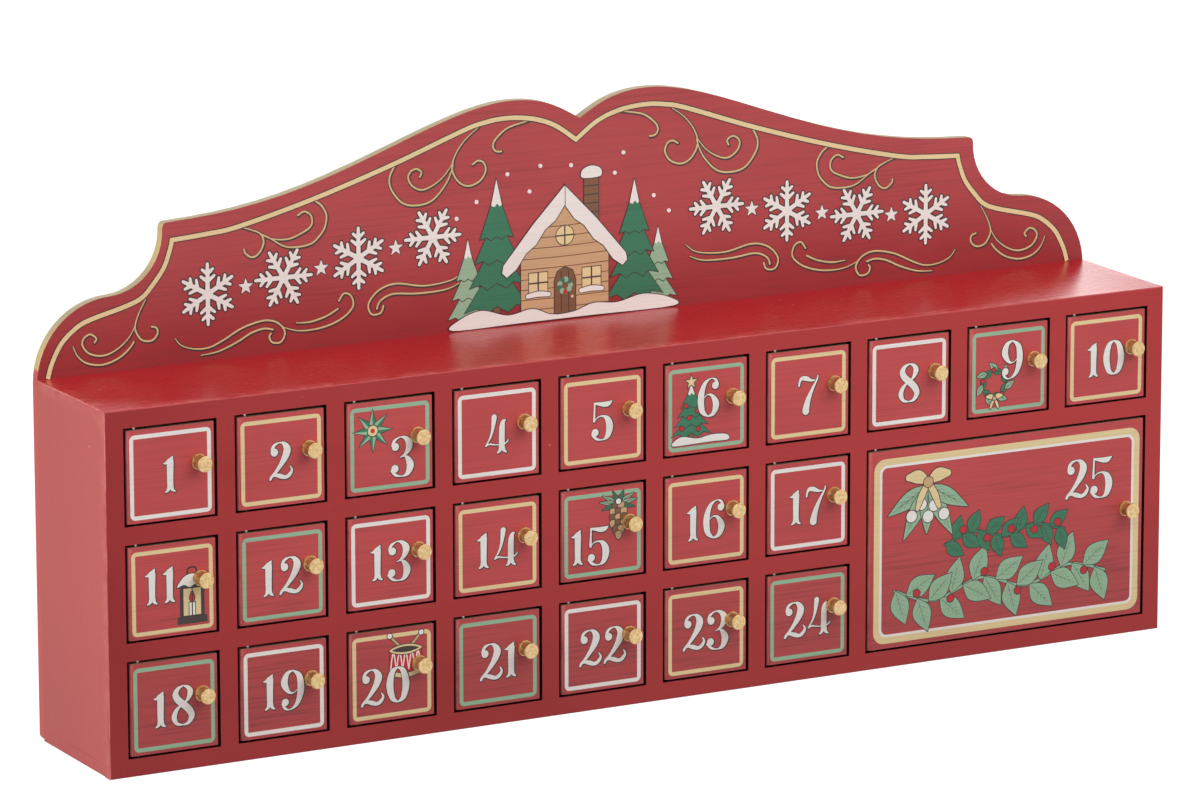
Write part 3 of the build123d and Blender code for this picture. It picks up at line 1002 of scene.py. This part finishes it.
foot_scrolls = [
    [(-178.9, 156.6), (-176.1, 153.5), (-170.6, 151.6), (-164.2, 151.5), (-157.8, 153.9), (-149.8, 157.8),
     (-141.1, 159.8), (-135.5, 159.0), (-131.9, 156.2), (-131.1, 153.1), (-133.1, 150.3), (-136.7, 150.7),
     (-137.9, 153.1), (-137.1, 154.3)],
    [(-167.8, 148.7), (-160.2, 149.5), (-152.2, 152.3), (-145.8, 155.4), (-140.3, 156.6), (-136.3, 155.8)],
    [(-132.1, 156.4), (-125.9, 154.3), (-118.9, 153.9), (-111.4, 155.0), (-104.9, 157.6), (-100.8, 161.6),
     (-101.7, 165.9), (-104.8, 167.2), (-107.0, 164.4)],
    [(-126.0, 157.4), (-119.6, 157.2), (-112.6, 158.8), (-107.6, 161.2)],
    [(-50.8, 171.3), (-56.4, 167.8), (-68.9, 166.6), (-81.4, 168.8), (-89.2, 166.9), (-93.9, 161.9),
     (-92.7, 157.5), (-88.6, 157.5), (-87.3, 160.3)],
    [(-52.7, 166.3), (-59.5, 164.1), (-72.0, 163.8), (-83.0, 164.7), (-88.6, 162.5), (-90.2, 159.4)],
]
crest_shift = -1.7
border_half = 0.92
border_outline = 0.38 * mm
scroll_half = 0.37
scroll_tip_half = 0.18
scroll_tip_share = 1 / 3
scroll_outline = 0.46 * mm
scroll_shadow = (0.20 * mm, -0.26 * mm)
# Layers of paint: of the lowest scroll and border, from one line to the next, and from outlines up to gold
scroll_layer = 1
scroll_layers = 0.4
scroll_gold_layers = 7
border_layer = 16
border_layers = 0.8
border_side_layers = 0.4
border_gold_layers = 3


def scroll(work, points, side, layer):
    """A gold line with a dark outline that starts thin and has round ends."""
    last = len(points) - 1
    stroke = []
    for index, (x, z) in enumerate(points):
        share = min(1.0, index / last / scroll_tip_share)
        half = scroll_tip_half + (scroll_half - scroll_tip_half) * share
        stroke.append(((side * x + crest_shift) * mm, z * mm, half * mm))
    work.ribbon(stroke, layer, "dark", scroll_outline, scroll_shadow)
    work.ribbon(stroke, layer + scroll_gold_layers, "old_gold")


def crest_scrollwork():
    """The border along the crest's edge and the scrolls within it."""
    work = Paintwork(crest_face)
    for side in (1, -1):
        for order, line in enumerate((crest_border_ear, crest_border_slope)):
            stroke = [((side * x + crest_shift) * mm, z * mm, border_half * mm) for x, z in line]
            layer = border_layer + border_layers * order + border_side_layers * side
            work.ribbon(stroke, layer, "dark", border_outline, square=True)
            work.ribbon(stroke, layer + border_gold_layers, "gold", square=True)
        for order, points in enumerate((*ear_scrolls, *shoulder_scrolls, *hump_scrolls, *foot_scrolls)):
            scroll(work, points, side, scroll_layer + scroll_layers * order)
    work.make("crest_scrollwork", "case")


# The row of flakes and stars on each side of the crest, from the ear to the middle
flake_row_start = (-164.5, 173.0)
flake_row_end = (-65.0, 186.0)
flake_row_bend = 1.25
flake_row_layer = 1
flake_count = 4
flake_radius = 12.2
flake_turn = 15.0
small_star_radius = 3.4
small_star_notch_share = 0.42
small_star_rays = 5


def crest_flakes():
    """White flakes with small stars between them, along a line that rises to the middle."""
    work = Paintwork(crest_face)
    across = flake_row_end[0] - flake_row_start[0]
    up = flake_row_end[1] - flake_row_start[1]
    notch = small_star_notch_share * small_star_radius
    for side in (1, -1):
        for step in range(2 * flake_count - 1):
            share = step / (2 * flake_count - 2)
            x = (side * (flake_row_start[0] + across * share) + crest_shift) * mm
            z = (flake_row_start[1] + up * share**flake_row_bend) * mm
            if step % 2:
                stamp = Stamp(work, x, z, flake_row_layer)
                stamp.fill(star_points(0.0, 0.0, small_star_radius, notch, small_star_rays), "white")
            else:
                snowflake(Stamp(work, x, z, flake_row_layer, turn=flake_turn * (step % 4)), flake_radius)
    work.make("crest_flakes", "case")


# The cottage at the middle of the crest, in millimetres about its foot
cottage_x = -7.0
cottage_lift = 0.3 * mm
cottage_layer = 18
cottage_half = 20.0
cottage_foot = 1.5
eaves_height = 27.0
ridge_height = 50.0
thin_half = 0.2
# Courses of boards: how many, the lowest, their pitch and how far they sag
course_count = 9
first_course = 5.2
course_pitch = 4.2
course_sag = 0.3
# Windows beside the door, with snow on their sills, and a round one above it
window_x = 12.2
window_z = 16.0
window_half = 4.2
window_bar_half = 0.32
sill_drop = 0.9
sill_overhang = 0.6
sill_rise = 0.5
sill_end_half = 0.9
sill_middle_half = 1.1
round_window_z = 34.5
round_window_radius = 4.0
round_window_bar_half = 0.3
# The cottage's door, with a wreath on it
cottage_door_outline = [
    (-4.8, 2.0), (4.8, 2.0), (4.8, 16.0), (3.4, 19.8), (0.0, 21.4), (-3.4, 19.8), (-4.8, 16.0),
]
plank_x = 1.7
plank_low = 3.0
plank_high = 19.6
plank_half = 0.18
door_wreath_z = 13.8
door_wreath_radius = 2.5
door_wreath_tufts = 9
door_wreath_turn = 40.0
tuft_radius = 1.15
door_bow = (0.0, 11.2, 0.9)
door_handle = (3.3, 9.0, 0.6)
# Snow on the roof: its scalloped lower edge from the eaves up, and its upper edge from the ridge down
roof_steps = 6
roof_eaves = (26.5, 19.6)
roof_rise = 27.4
roof_dip = 1.5
roof_upper_edge = [(0.0, 55.0), (14.5, 40.2), (28.0, 24.6), (28.6, 21.6)]
# The chimney with its courses and snow
chimney_x = 12.25
chimney_half = 3.25
chimney_low = 36.0
chimney_high = 58.0
chimney_courses = 4
chimney_first_course = 43.0
chimney_course_pitch = 3.6
chimney_snow = [(7.8, 57.6), (12.2, 57.0), (16.7, 57.6), (16.4, 60.6), (12.2, 62.0), (8.2, 60.6)]
# Firs beside the cottage: place across, height, half width, tiers and colour
cottage_firs = (
    (-44.0, 36.0, 9.0, 3, "green"),
    (43.0, 33.0, 8.6, 3, "green"),
    (-31.0, 60.0, 14.5, 4, "deep_green"),
    (32.0, 54.0, 13.0, 4, "deep_green"),
)
snow_bank = [
    (-51.0, 0.3), (-20.0, 0.3), (12.0, 0.3), (50.0, 0.3), (47.5, 4.2), (36.0, 6.6), (24.0, 4.4), (13.0, 5.2),
    (4.0, 2.6), (-6.0, 2.4), (-15.0, 5.6), (-26.0, 4.0), (-38.0, 7.2), (-48.0, 4.4),
]
falling_snow = (
    (-26.0, 62.0), (-16.0, 54.0), (-11.0, 64.0), (3.0, 63.0), (23.0, 58.0), (27.0, 66.0),
    (-40.0, 52.0), (-49.0, 46.0), (41.0, 47.0), (48.0, 40.0),
)
falling_snow_radius = 0.85


def window_bars(stamp, x, z, reach, half):
    stamp.stroke([(x - reach, z, half), (x + reach, z, half)], "dark", 0.0)
    stamp.stroke([(x, z - reach, half), (x, z + reach, half)], "dark", 0.0)


def cottage_windows(stamp):
    """Two square windows with snow on their sills, and a round one."""
    sill = window_z - window_half - sill_drop
    sill_reach = window_half + sill_overhang
    for side in (-1, 1):
        x = side * window_x
        stamp.fill(rectangle(x, window_half, window_z - window_half, window_z + window_half), "gold")
        window_bars(stamp, x, window_z, window_half, window_bar_half)
        ends = [(x + end * sill_reach, sill, sill_end_half) for end in (-1, 1)]
        stamp.stroke([ends[0], (x, sill + sill_rise, sill_middle_half), ends[1]], "white")
    stamp.dot(0.0, round_window_z, round_window_radius, "gold")
    window_bars(stamp, 0.0, round_window_z, round_window_radius, round_window_bar_half)


def cottage_door(stamp):
    """An arched door of planks with a wreath."""
    stamp.fill(cottage_door_outline, "brown")
    planks = [[(x, plank_low, plank_half), (x, plank_high, plank_half)] for x in (-plank_x, plank_x)]
    stamp.lines(planks, "dark")
    for tuft in range(door_wreath_tufts):
        x, z = around(door_wreath_radius, door_wreath_turn * tuft)
        stamp.dot(x, door_wreath_z + z, tuft_radius, "deep_green" if tuft % 2 else "green", 0.0)
    stamp.dot(*door_bow, "bright_red", 0.0)
    stamp.dot(*door_handle, "gold", 0.0)


def cottage_roof(stamp):
    """Snow on both slopes of the gable, with a scalloped lower edge."""
    for side in (1, -1):
        lower = []
        for step in range(roof_steps + 1):
            share = step / roof_steps
            dip = roof_dip if step % 2 else 0.0
            lower.append((side * (roof_eaves[0] * (1 - share)), roof_eaves[1] + roof_rise * share - dip))
        outline = [*lower, *[(side * x, z) for x, z in roof_upper_edge]]
        stamp.fill(outline if side < 0 else outline[::-1], "white")


def chimney(stamp):
    """A chimney with a few courses and a cap of snow."""
    stamp.fill(rectangle(chimney_x, chimney_half, chimney_low, chimney_high), "brown")
    courses = []
    for course in range(chimney_courses):
        level = chimney_first_course + chimney_course_pitch * course
        courses.append([(chimney_x + side * chimney_half, level, thin_half) for side in (-1, 1)])
    stamp.lines(courses, "dark")
    stamp.blob(chimney_snow, "white")


def cottage_wall(stamp):
    """The gable wall with its courses of boards."""
    stamp.fill([(-cottage_half, cottage_foot), (cottage_half, cottage_foot), (cottage_half, eaves_height),
                (0.0, ridge_height), (-cottage_half, eaves_height)], "tan")
    courses = []
    for course in range(course_count):
        level = first_course + course_pitch * course
        reach = cottage_half * min(1.0, (ridge_height - level) / (ridge_height - eaves_height))
        courses.append(lined([(-reach, level), (0.0, level - course_sag), (reach, level)], thin_half))
    stamp.lines(courses, "brown")


def crest_picture():
    """A cottage between firs in the snow."""
    work = Paintwork(crest_face)
    stamp = Stamp(work, cottage_x * mm, box_top + cottage_lift, cottage_layer)
    for x, height, half_width, tiers, paint in cottage_firs:
        tree = Stamp(work, *stamp.at(x, cottage_foot), stamp.layer)
        fir_tree(tree, height, half_width, tiers, paint)
        stamp.layer = tree.layer
    chimney(stamp)
    cottage_wall(stamp)
    cottage_windows(stamp)
    cottage_door(stamp)
    cottage_roof(stamp)
    stamp.blob(snow_bank, "white")
    stamp.dots(falling_snow, falling_snow_radius, "white")
    work.make("crest_picture", "case")


# The star of a door, in millimetres about its middle
star_rays = 8
star_reach = 9.0
star_notch = 3.7
star_boss = 2.3
star_eye = 1.0


def star_motif(stamp):
    """A faceted star with a round boss."""
    points = star_points(0.0, 0.0, star_reach, star_notch, star_rays)
    stamp.fill(points, "green")
    for ray in range(star_rays):
        stamp.fill([(0.0, 0.0), points[2 * ray - 1], points[2 * ray]], "deep_green", 0.0)
    stamp.dot(0.0, 0.0, star_boss, "gold")
    stamp.dot(0.0, 0.0, star_eye, "bright_red", 0.0)


# The fir of a door, in millimetres about its foot
tree_height = 25.0
tree_half_width = 9.5
tree_tiers = 4
tree_baubles = ((-4.6, 5.4), (3.4, 4.6), (-1.0, 9.8), (3.0, 12.6), (-2.6, 15.2))
bauble_radius = 0.95
tree_star_z = 25.4
tree_star_reach = 2.9
tree_star_notch = 1.2
tree_star_rays = 5
tree_snow = [
    (-9.5, -1.6), (0.0, -1.8), (10.0, -1.6), (18.0, -1.6), (17.0, 0.8), (10.0, 1.4), (3.0, 0.4), (-5.0, 1.8),
]


def tree_motif(stamp):
    """A fir with a star on top, in snow."""
    fir_tree(stamp, tree_height, tree_half_width, tree_tiers, "deep_green")
    for x, z in tree_baubles:
        stamp.dot(x, z, bauble_radius, "bright_red")
    stamp.fill(star_points(0.0, tree_star_z, tree_star_reach, tree_star_notch, tree_star_rays), "gold")
    stamp.blob(tree_snow, "white")


# A bow: strokes of its tails and loops, and its knot, as shares of its reach
bow_tail_shares = ((0.0, 0.0, 0.12), (0.34, -0.6, 0.16), (0.55, -1.15, 0.10))
bow_loop_shares = ((0.0, 0.0, 0.10), (0.5, 0.28, 0.30), (1.0, 0.30, 0.16))
bow_knot_share = 0.24


def bow(stamp, x, z, reach):
    for side in (-1, 1):
        for shares in (bow_tail_shares, bow_loop_shares):
            points = [(x + side * a * reach, z + b * reach, half * reach) for a, b, half in shares]
            stamp.stroke(points, "gold")
    stamp.dot(x, z, bow_knot_share * reach, "tan")


# The wreath of a door, in millimetres about its middle
wreath_radius = 6.2
wreath_leaves = 14
wreath_leaf = (5.2, 2.6)
wreath_leaf_turns = (118.0, 62.0)
wreath_berries = 5
wreath_berry_start = 20.0
wreath_berry_turn = 72.0
wreath_berry_radius = 0.9
wreath_bow_z = -6.6
wreath_bow_reach = 3.6


def wreath_motif(stamp):
    """A ring of leaves with berries and a bow."""
    for step in range(wreath_leaves):
        angle = 360.0 * step / wreath_leaves
        paint = "green" if step % 2 else "deep_green"
        stamp.leaf(*around(wreath_radius, angle), angle + wreath_leaf_turns[step % 2], *wreath_leaf, paint)
    for step in range(wreath_berries):
        place = around(wreath_radius, wreath_berry_start + wreath_berry_turn * step)
        stamp.dot(*place, wreath_berry_radius, "bright_red")
    bow(stamp, 0.0, wreath_bow_z, wreath_bow_reach)


# The lantern of a door, in millimetres about its middle
lantern_handle = [(-2.2, 10.4), (-1.6, 13.2), (1.6, 13.2), (2.2, 10.4)]
lantern_handle_half = 0.4
lantern_base = rectangle(0.0, 6.4, -10.0, -7.6)
lantern_case = rectangle(0.0, 5.2, -7.6, 5.4)
pane_half = 4.2
pane_low = -6.8
pane_high = 4.6
pane_bar_half = 0.26
candle_half = 1.3
candle_top = -1.4
candle_flame = [(0.0, -1.2), (1.1, 0.4), (0.0, 3.2), (-1.1, 0.4)]
lantern_roof = [(-6.6, 5.4), (6.6, 5.4), (3.2, 9.4), (-3.2, 9.4)]
lantern_snow = [
    (-6.8, 5.6), (-3.6, 6.4), (-1.0, 5.2), (2.2, 6.6), (6.8, 5.6), (3.8, 9.6), (0.0, 10.8), (-3.8, 9.6),
]


def lantern_motif(stamp):
    """A dark lantern with a lit pane and snow on its roof."""
    stamp.stroke(lined(lantern_handle, lantern_handle_half), "dark", 0.0)
    stamp.fill(lantern_base, "dark")
    stamp.fill(lantern_case, "dark")
    stamp.fill(rectangle(0.0, pane_half, pane_low, pane_high), "gold", 0.0)
    stamp.fill(rectangle(0.0, candle_half, pane_low, candle_top), "white")
    stamp.blob(candle_flame, "bright_red")
    for x in (-pane_half, 0.0, pane_half):
        stamp.stroke([(x, pane_low, pane_bar_half), (x, pane_high, pane_bar_half)], "dark", 0.0)
    stamp.fill(lantern_roof, "dark")
    stamp.blob(lantern_snow, "white")


# The fir cone of a door, in millimetres about its middle: needles as angle and length, scales row by row
cone_sprig = ((152, 8.4), (172, 9.0), (195, 8.0), (28, 8.4), (8, 9.0), (-15, 8.0), (65, 6.0), (115, 6.0))
cone_sprig_z = 5.0
needle_width = 1.7
cone_rows = (2, 3, 3, 3, 2, 1)
cone_first_row = 4.0
cone_row_pitch = 2.5
cone_scale_pitch = 2.6
cone_scale = [(-1.5, 0.8), (-1.1, -1.2), (0.0, -2.0), (1.1, -1.2), (1.5, 0.8), (0.0, 1.6)]
cone_berry = (0.0, 6.0, 1.2)


def cone_motif(stamp):
    """A fir cone that hangs from a sprig."""
    for angle, length in cone_sprig:
        stamp.leaf(0.0, cone_sprig_z, angle, length, needle_width, "deep_green" if angle % 2 else "green")
    for row, count in enumerate(cone_rows):
        level = cone_first_row - cone_row_pitch * row
        for scale in range(count):
            x = cone_scale_pitch * (scale - (count - 1) / 2)
            outline = [(x + across, level + up) for across, up in cone_scale]
            stamp.blob(outline, "tan" if (row + scale) % 2 else "brown")
    stamp.dot(*cone_berry, "white")


# The drum of a door, in millimetres about its middle
drum_stick = [(1.5, 3.5), (7.4, 9.6)]
drum_stick_half = 0.5
drum_stick_ball = 1.1
drum_body = [(-7.4, -7.0), (0.0, -8.6), (7.4, -7.0), (7.4, 3.0), (-7.4, 3.0)]
drum_cords = 5
drum_cord_start = -7.2
drum_cord = [(0.0, -5.6), (1.44, 2.2), (2.88, -5.6)]
drum_cord_pitch = 2.88
drum_cord_half = 0.28
drum_hoop = [(-7.4, -6.6), (0.0, -8.2), (7.4, -6.6)]
drum_hoop_half = 0.9
drum_rim = [
    (-7.6, 3.2), (-4.0, 1.6), (0.0, 1.1), (4.0, 1.6), (7.6, 3.2), (4.0, 4.8), (0.0, 5.3), (-4.0, 4.8),
]
drum_head = [
    (-6.2, 3.2), (-3.2, 2.2), (0.0, 1.9), (3.2, 2.2), (6.2, 3.2), (3.2, 4.2), (0.0, 4.5), (-3.2, 4.2),
]


def drum_motif(stamp):
    """A drum with corded sides and two sticks."""
    for side in (-1, 1):
        stick = [(side * x, z) for x, z in drum_stick]
        stamp.stroke(lined(stick, drum_stick_half), "tan")
        stamp.dot(*stick[-1], drum_stick_ball, "white")
    stamp.fill(drum_body, "bright_red")
    for step in range(drum_cords):
        x = drum_cord_start + drum_cord_pitch * step
        stamp.stroke(lined([(x + across, z) for across, z in drum_cord], drum_cord_half), "white", 0.0)
    stamp.stroke(lined(drum_hoop, drum_hoop_half), "gold")
    stamp.blob(drum_rim, "gold")
    stamp.blob(drum_head, "dark", 0.0)


# The motif of each picture door, and its place about the door's middle
motif_scale = 0.94
door_motifs = {
    3: (star_motif, -7.2 * mm, 6.8 * mm),
    6: (tree_motif, -6.6 * mm, -13.0 * mm),
    9: (wreath_motif, -6.4 * mm, -5.4 * mm),
    11: (lantern_motif, 8.6 * mm, -4.8 * mm),
    15: (cone_motif, 7.4 * mm, 6.4 * mm),
    20: (drum_motif, 6.4 * mm, 6.6 * mm),
}

# The large door's garlands, in millimetres about the door's middle: stem, leaf length and width, leaf pitch
upper_garland = [(-29.0, -1.0), (-15.0, 3.0), (0.0, -0.8), (13.0, 2.8), (28.0, -1.2)]
upper_leaf = (10.0, 5.8)
upper_pitch = 4.0
lower_garland = [(-53.0, -18.0), (-34.0, -24.0), (-12.0, -17.0), (10.0, -23.0), (30.0, -16.5), (48.0, -21.0)]
lower_leaf = (15.0, 8.4)
lower_pitch = 5.6
garland_layer = 6
garland_steps = 24
garland_leaf_turn = 52.0
stem_half = 0.5
leaves_per_berry = 3
berry_radius = 1.5
berry_outline = 0.4
berry_across = 1.2
berry_up = 2.4
# Layers of paint that a leaf takes, and how many leaves in a row have layers of their own
leaf_layers = 2
leaf_turns = 4
# The mistletoe: leaves as angle and length, and white berries
mistletoe_place = (-37.5 * mm, 22.0 * mm)
mistletoe_scale = 1.45
mistletoe_leaves = ((-150, 15.0), (-118, 17.0), (-92, 14.0), (-62, 17.0), (-30, 15.0))
mistletoe_leaf_foot = 2.0
mistletoe_leaf_width = 4.6
mistletoe_berries = ((-2.2, -3.2), (2.0, -4.0), (0.0, -7.0), (-5.4, -6.4), (5.2, -6.8))
mistletoe_berry_radius = 1.7
mistletoe_bow_z = 3.0
mistletoe_bow_reach = 6.4


def garland(stamp, points, leaf, pitch, paint):
    """A wavy stem with leaves to both sides by turns. Leaves that overlap lie in different layers."""
    path = smooth_path(points, garland_steps)
    stamp.stroke(lined(points, stem_half), paint)
    foot_layer = stamp.layer
    berries = []
    run = 0.0
    count = 0
    for index in range(1, len(path)):
        run += math.dist(path[index], path[index - 1])
        if run < pitch * count:
            continue
        x, z = path[index]
        across, up = heading(path, index)
        angle = math.degrees(math.atan2(up, across))
        side = 1 if count % 2 else -1
        stamp.layer = foot_layer + leaf_layers * (count % leaf_turns)
        stamp.leaf(x, z, angle + side * garland_leaf_turn, *leaf, paint)
        if count % leaves_per_berry == leaves_per_berry - 1:
            berries.append((x - side * berry_across * up, z - side * berry_up))
        count += 1
    stamp.layer = foot_layer + leaf_layers * leaf_turns
    stamp.dots(berries, berry_radius + berry_outline, "dark")
    stamp.dots(berries, berry_radius, "bright_red")


def mistletoe(stamp):
    """Long leaves with white berries under a small bow."""
    for angle, length in mistletoe_leaves:
        stamp.leaf(0.0, mistletoe_leaf_foot, angle, length, mistletoe_leaf_width, "green")
    for x, z in mistletoe_berries:
        stamp.dot(x, z, mistletoe_berry_radius, "white")
    bow(stamp, 0.0, mistletoe_bow_z, mistletoe_bow_reach)


def large_door_art(work, x, z):
    stamp = Stamp(work, x, z, garland_layer)
    garland(stamp, lower_garland, lower_leaf, lower_pitch, "green")
    garland(stamp, upper_garland, upper_leaf, upper_pitch, "deep_green")
    across, up = mistletoe_place
    mistletoe(Stamp(work, x + across, z + up, stamp.layer, scale=mistletoe_scale))


# Borders and numerals of the doors
border_colours = {
    "white": (1, 4, 8, 13, 17, 19, 22),
    "gold": (2, 5, 7, 10, 11, 14, 16, 20, 23),
    "green": (3, 6, 9, 12, 15, 18, 21, 24),
}
border_line = 1.66 * mm
border_margins = {"left": 1.74 * mm, "right": 1.18 * mm, "top": 1.95 * mm, "bottom": 1.28 * mm}
border_round = 2.2 * mm
border_inner_round = 0.4 * mm
large_margins = {"left": 2.9 * mm, "right": 1.5 * mm, "top": 3.5 * mm, "bottom": 2.0 * mm}
large_gold_line = 2.7 * mm
large_white_line = 1.1 * mm
large_round = 5.0 * mm
large_middle_round = 3.2 * mm
large_inner_round = 2.4 * mm
door_border_layer = 1
door_art_layer = 2
numeral_height = 14.6 * mm
large_numeral_height = 16.0 * mm
# Where numerals sit about the door's middle, and those that sit elsewhere
usual_place = (0.2 * mm, -0.53 * mm)
numeral_places = {
    1: (-0.3 * mm, -0.4 * mm),
    3: (5.7 * mm, -4.9 * mm),
    6: (1.3 * mm, 3.6 * mm),
    9: (1.9 * mm, 3.9 * mm),
    11: (-5.0 * mm, 2.1 * mm),
    15: (-5.4 * mm, -5.2 * mm),
    20: (-2.7 * mm, -4.3 * mm),
    25: (40.0 * mm, 18.6 * mm),
}


def inset_frame(low, high, margins, line, radius):
    """Outline inside a door's box by its margins and line more."""
    left = low.x + margins["left"] + line
    right = high.x - margins["right"] - line
    bottom = low.z + margins["bottom"] + line
    top = high.z - margins["top"] - line
    return rounded_frame((left + right) / 2, (bottom + top) / 2, right - left, top - bottom, radius)


def small_border(work, low, high, colour):
    outer = inset_frame(low, high, border_margins, 0.0, border_round)
    inner = inset_frame(low, high, border_margins, border_line, border_inner_round)
    work.ring(outer, inner, door_border_layer, colour)


def large_border(work, low, high):
    outer = inset_frame(low, high, large_margins, 0.0, large_round)
    middle = inset_frame(low, high, large_margins, large_gold_line, large_middle_round)
    inner = inset_frame(low, high, large_margins, large_gold_line + large_white_line, large_inner_round)
    work.ring(outer, middle, door_border_layer, "gold")
    work.ring(middle, inner, door_border_layer, "white")


def door_art(number):
    """The painted border, motif and numeral of one door."""
    low, high = door_boxes[number - 1]
    middle = (low + high) / 2
    work = Paintwork(low.y)
    across, up = numeral_places.get(number, usual_place)
    height = large_numeral_height if number == large_door else numeral_height
    if number == large_door:
        large_border(work, low, high)
        large_door_art(work, middle.x, middle.z)
    else:
        colour = next(name for name, numbers in border_colours.items() if number in numbers)
        small_border(work, low, high, colour)
    layer = door_art_layer
    if number in door_motifs:
        motif, motif_across, motif_up = door_motifs[number]
        stamp = Stamp(work, middle.x + motif_across, middle.z + motif_up, layer, scale=motif_scale)
        motif(stamp)
        layer = stamp.layer
    numeral(work, str(number), middle.x + across, middle.z + up, height, layer)
    work.make(f"door_art_{number:02d}", f"leaf_{number:02d}")


crest_scrollwork()
crest_flakes()
crest_picture()
for number in range(1, door_count + 1):
    door_art(number)


# The frame's own pieces
ease_width = 0.3 * mm
door_ease_width = 0.45 * mm
seam_ease_width = 0.08 * mm
ease_segments = 2
ease_angle = math.radians(40.0)
weld_distance = 0.002 * mm


def eased(name, width):
    """Rounds the sharp edges of a carried-over piece a little."""
    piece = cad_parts[name]
    weld = piece.modifiers.new("join", "WELD")
    weld.merge_threshold = weld_distance
    bevel = piece.modifiers.new("ease", "BEVEL")
    bevel.width = width
    bevel.segments = ease_segments
    bevel.limit_method = "ANGLE"
    bevel.angle_limit = ease_angle
    bevel.harden_normals = True


def coat(name, material):
    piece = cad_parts[name]
    piece.data.materials.clear()
    piece.data.materials.append(material)


node_finishes = {
    "front_frame": box_paint, "top_board": box_paint, "bottom_board": box_paint, "side_boards": box_paint,
    "back_panel": crest_paint, "shelves": bare_board, "dividers": bare_board, "door_stops": bare_board,
    "hinge_pins": pin_steel, "back_panel_nails": nail_steel,
}
for name, material in node_finishes.items():
    coat(name, material)
for name in door_names:
    coat(name, door_paint)
for name in knob_names:
    coat(name, brass_metal)
for name in ("front_frame", "top_board", "back_panel"):
    eased(name, ease_width)
for name in door_names:
    eased(name, door_ease_width)
for name in ("bottom_board", "side_boards"):
    eased(name, seam_ease_width)


# Floor, light and camera, in metres, watts and degrees
floor_half = 6.0
floor_grey = (0.22, 0.22, 0.22, 1.0)
floor_glow = 0.92
white = (1.0, 1.0, 1.0, 1.0)
even_light = 0.44
aim_share = 0.45
lamp_aim = Vector((0.0, front_low.y, aim_share * crest_high.z))
# Lamps: place, width, depth and power
lamps = {
    "front_light": (Vector((0.30, -0.80, 0.88)), 1.5, 0.8, 11.8),
    "left_light": (Vector((-1.60, -0.12, 0.70)), 0.9, 0.9, 18.0),
    "back_light": (Vector((0.50, 1.50, 0.80)), 1.2, 0.8, 14.0),
}
camera_aim = Vector((-0.0062, 0.0007, 0.1183))
camera_azimuth = -28.258
camera_elevation = 12.987
camera_roll = -0.097
camera_distance = 2.8628
camera_reach = 50.0
# The camera's lens and sensor, in millimetres as a camera states them
camera_lens = 213.35
camera_sensor = 36.0


def white_rays(finish):
    """1 for what the camera sees straight on or in a reflection."""
    straight = finish.node("ShaderNodeLightPath", output="Is Camera Ray")
    mirrored_ray = finish.node("ShaderNodeLightPath", output="Is Glossy Ray")
    return finish.sum("MAXIMUM", straight, mirrored_ray)


def floor():
    """A wide pale floor that is white to the camera and keeps the object's shadow."""
    corners = [(x * floor_half, y * floor_half, 0) for x, y in ((-1, -1), (1, -1), (1, 1), (-1, 1))]
    mesh = bpy.data.meshes.new("floor")
    mesh.from_pydata(corners, [], [(0, 1, 2, 3)])
    piece = bpy.data.objects.new("floor", mesh)
    bpy.context.collection.objects.link(piece)
    finish = Finish("floor")
    seen = white_rays(finish)
    matt = finish.node("ShaderNodeBsdfDiffuse", sockets={"Color": floor_grey})
    glow = finish.node("ShaderNodeEmission", sockets={"Strength": seen * floor_glow})
    finish.show(finish.node("ShaderNodeAddShader", sockets={0: matt, 1: glow}))
    mesh.materials.append(finish.material)


def surroundings():
    """White to the camera and in reflections, and a softer even light on the object."""
    finish = Finish("surroundings", bpy.data.worlds, "ShaderNodeOutputWorld")
    strength = even_light + white_rays(finish) * (1.0 - even_light)
    finish.show(finish.node("ShaderNodeBackground", sockets={"Color": white, "Strength": strength}))
    bpy.context.scene.world = finish.material


def lamp(name, place, width, depth, power):
    """A rectangular lamp that looks at the object."""
    data = bpy.data.lights.new(name, "AREA")
    data.shape = "RECTANGLE"
    data.size = width
    data.size_y = depth
    data.energy = power
    piece = bpy.data.objects.new(name, data)
    piece.location = place
    piece.rotation_euler = (lamp_aim - place).to_track_quat("-Z", "Y").to_euler()
    bpy.context.collection.objects.link(piece)


def camera():
    """The photo's view: azimuth from the front, to the left where it is negative."""
    turn = math.radians(camera_azimuth)
    lift = math.radians(camera_elevation)
    back = Vector((math.sin(turn) * math.cos(lift), -math.cos(turn) * math.cos(lift), math.sin(lift)))
    data = bpy.data.cameras.new("camera")
    data.lens = camera_lens
    data.sensor_width = camera_sensor
    data.sensor_fit = "HORIZONTAL"
    data.clip_end = camera_reach
    piece = bpy.data.objects.new("camera", data)
    piece.location = camera_aim + back * camera_distance
    upright = back.to_track_quat("Z", "Y")
    piece.rotation_mode = "QUATERNION"
    piece.rotation_quaternion = upright @ Quaternion((0.0, 0.0, 1.0), math.radians(camera_roll))
    bpy.context.collection.objects.link(piece)
    bpy.context.scene.camera = piece


floor()
surroundings()
for name, settings in lamps.items():
    lamp(name, *settings)
camera()
bpy.context.scene.view_settings.view_transform = "Standard"
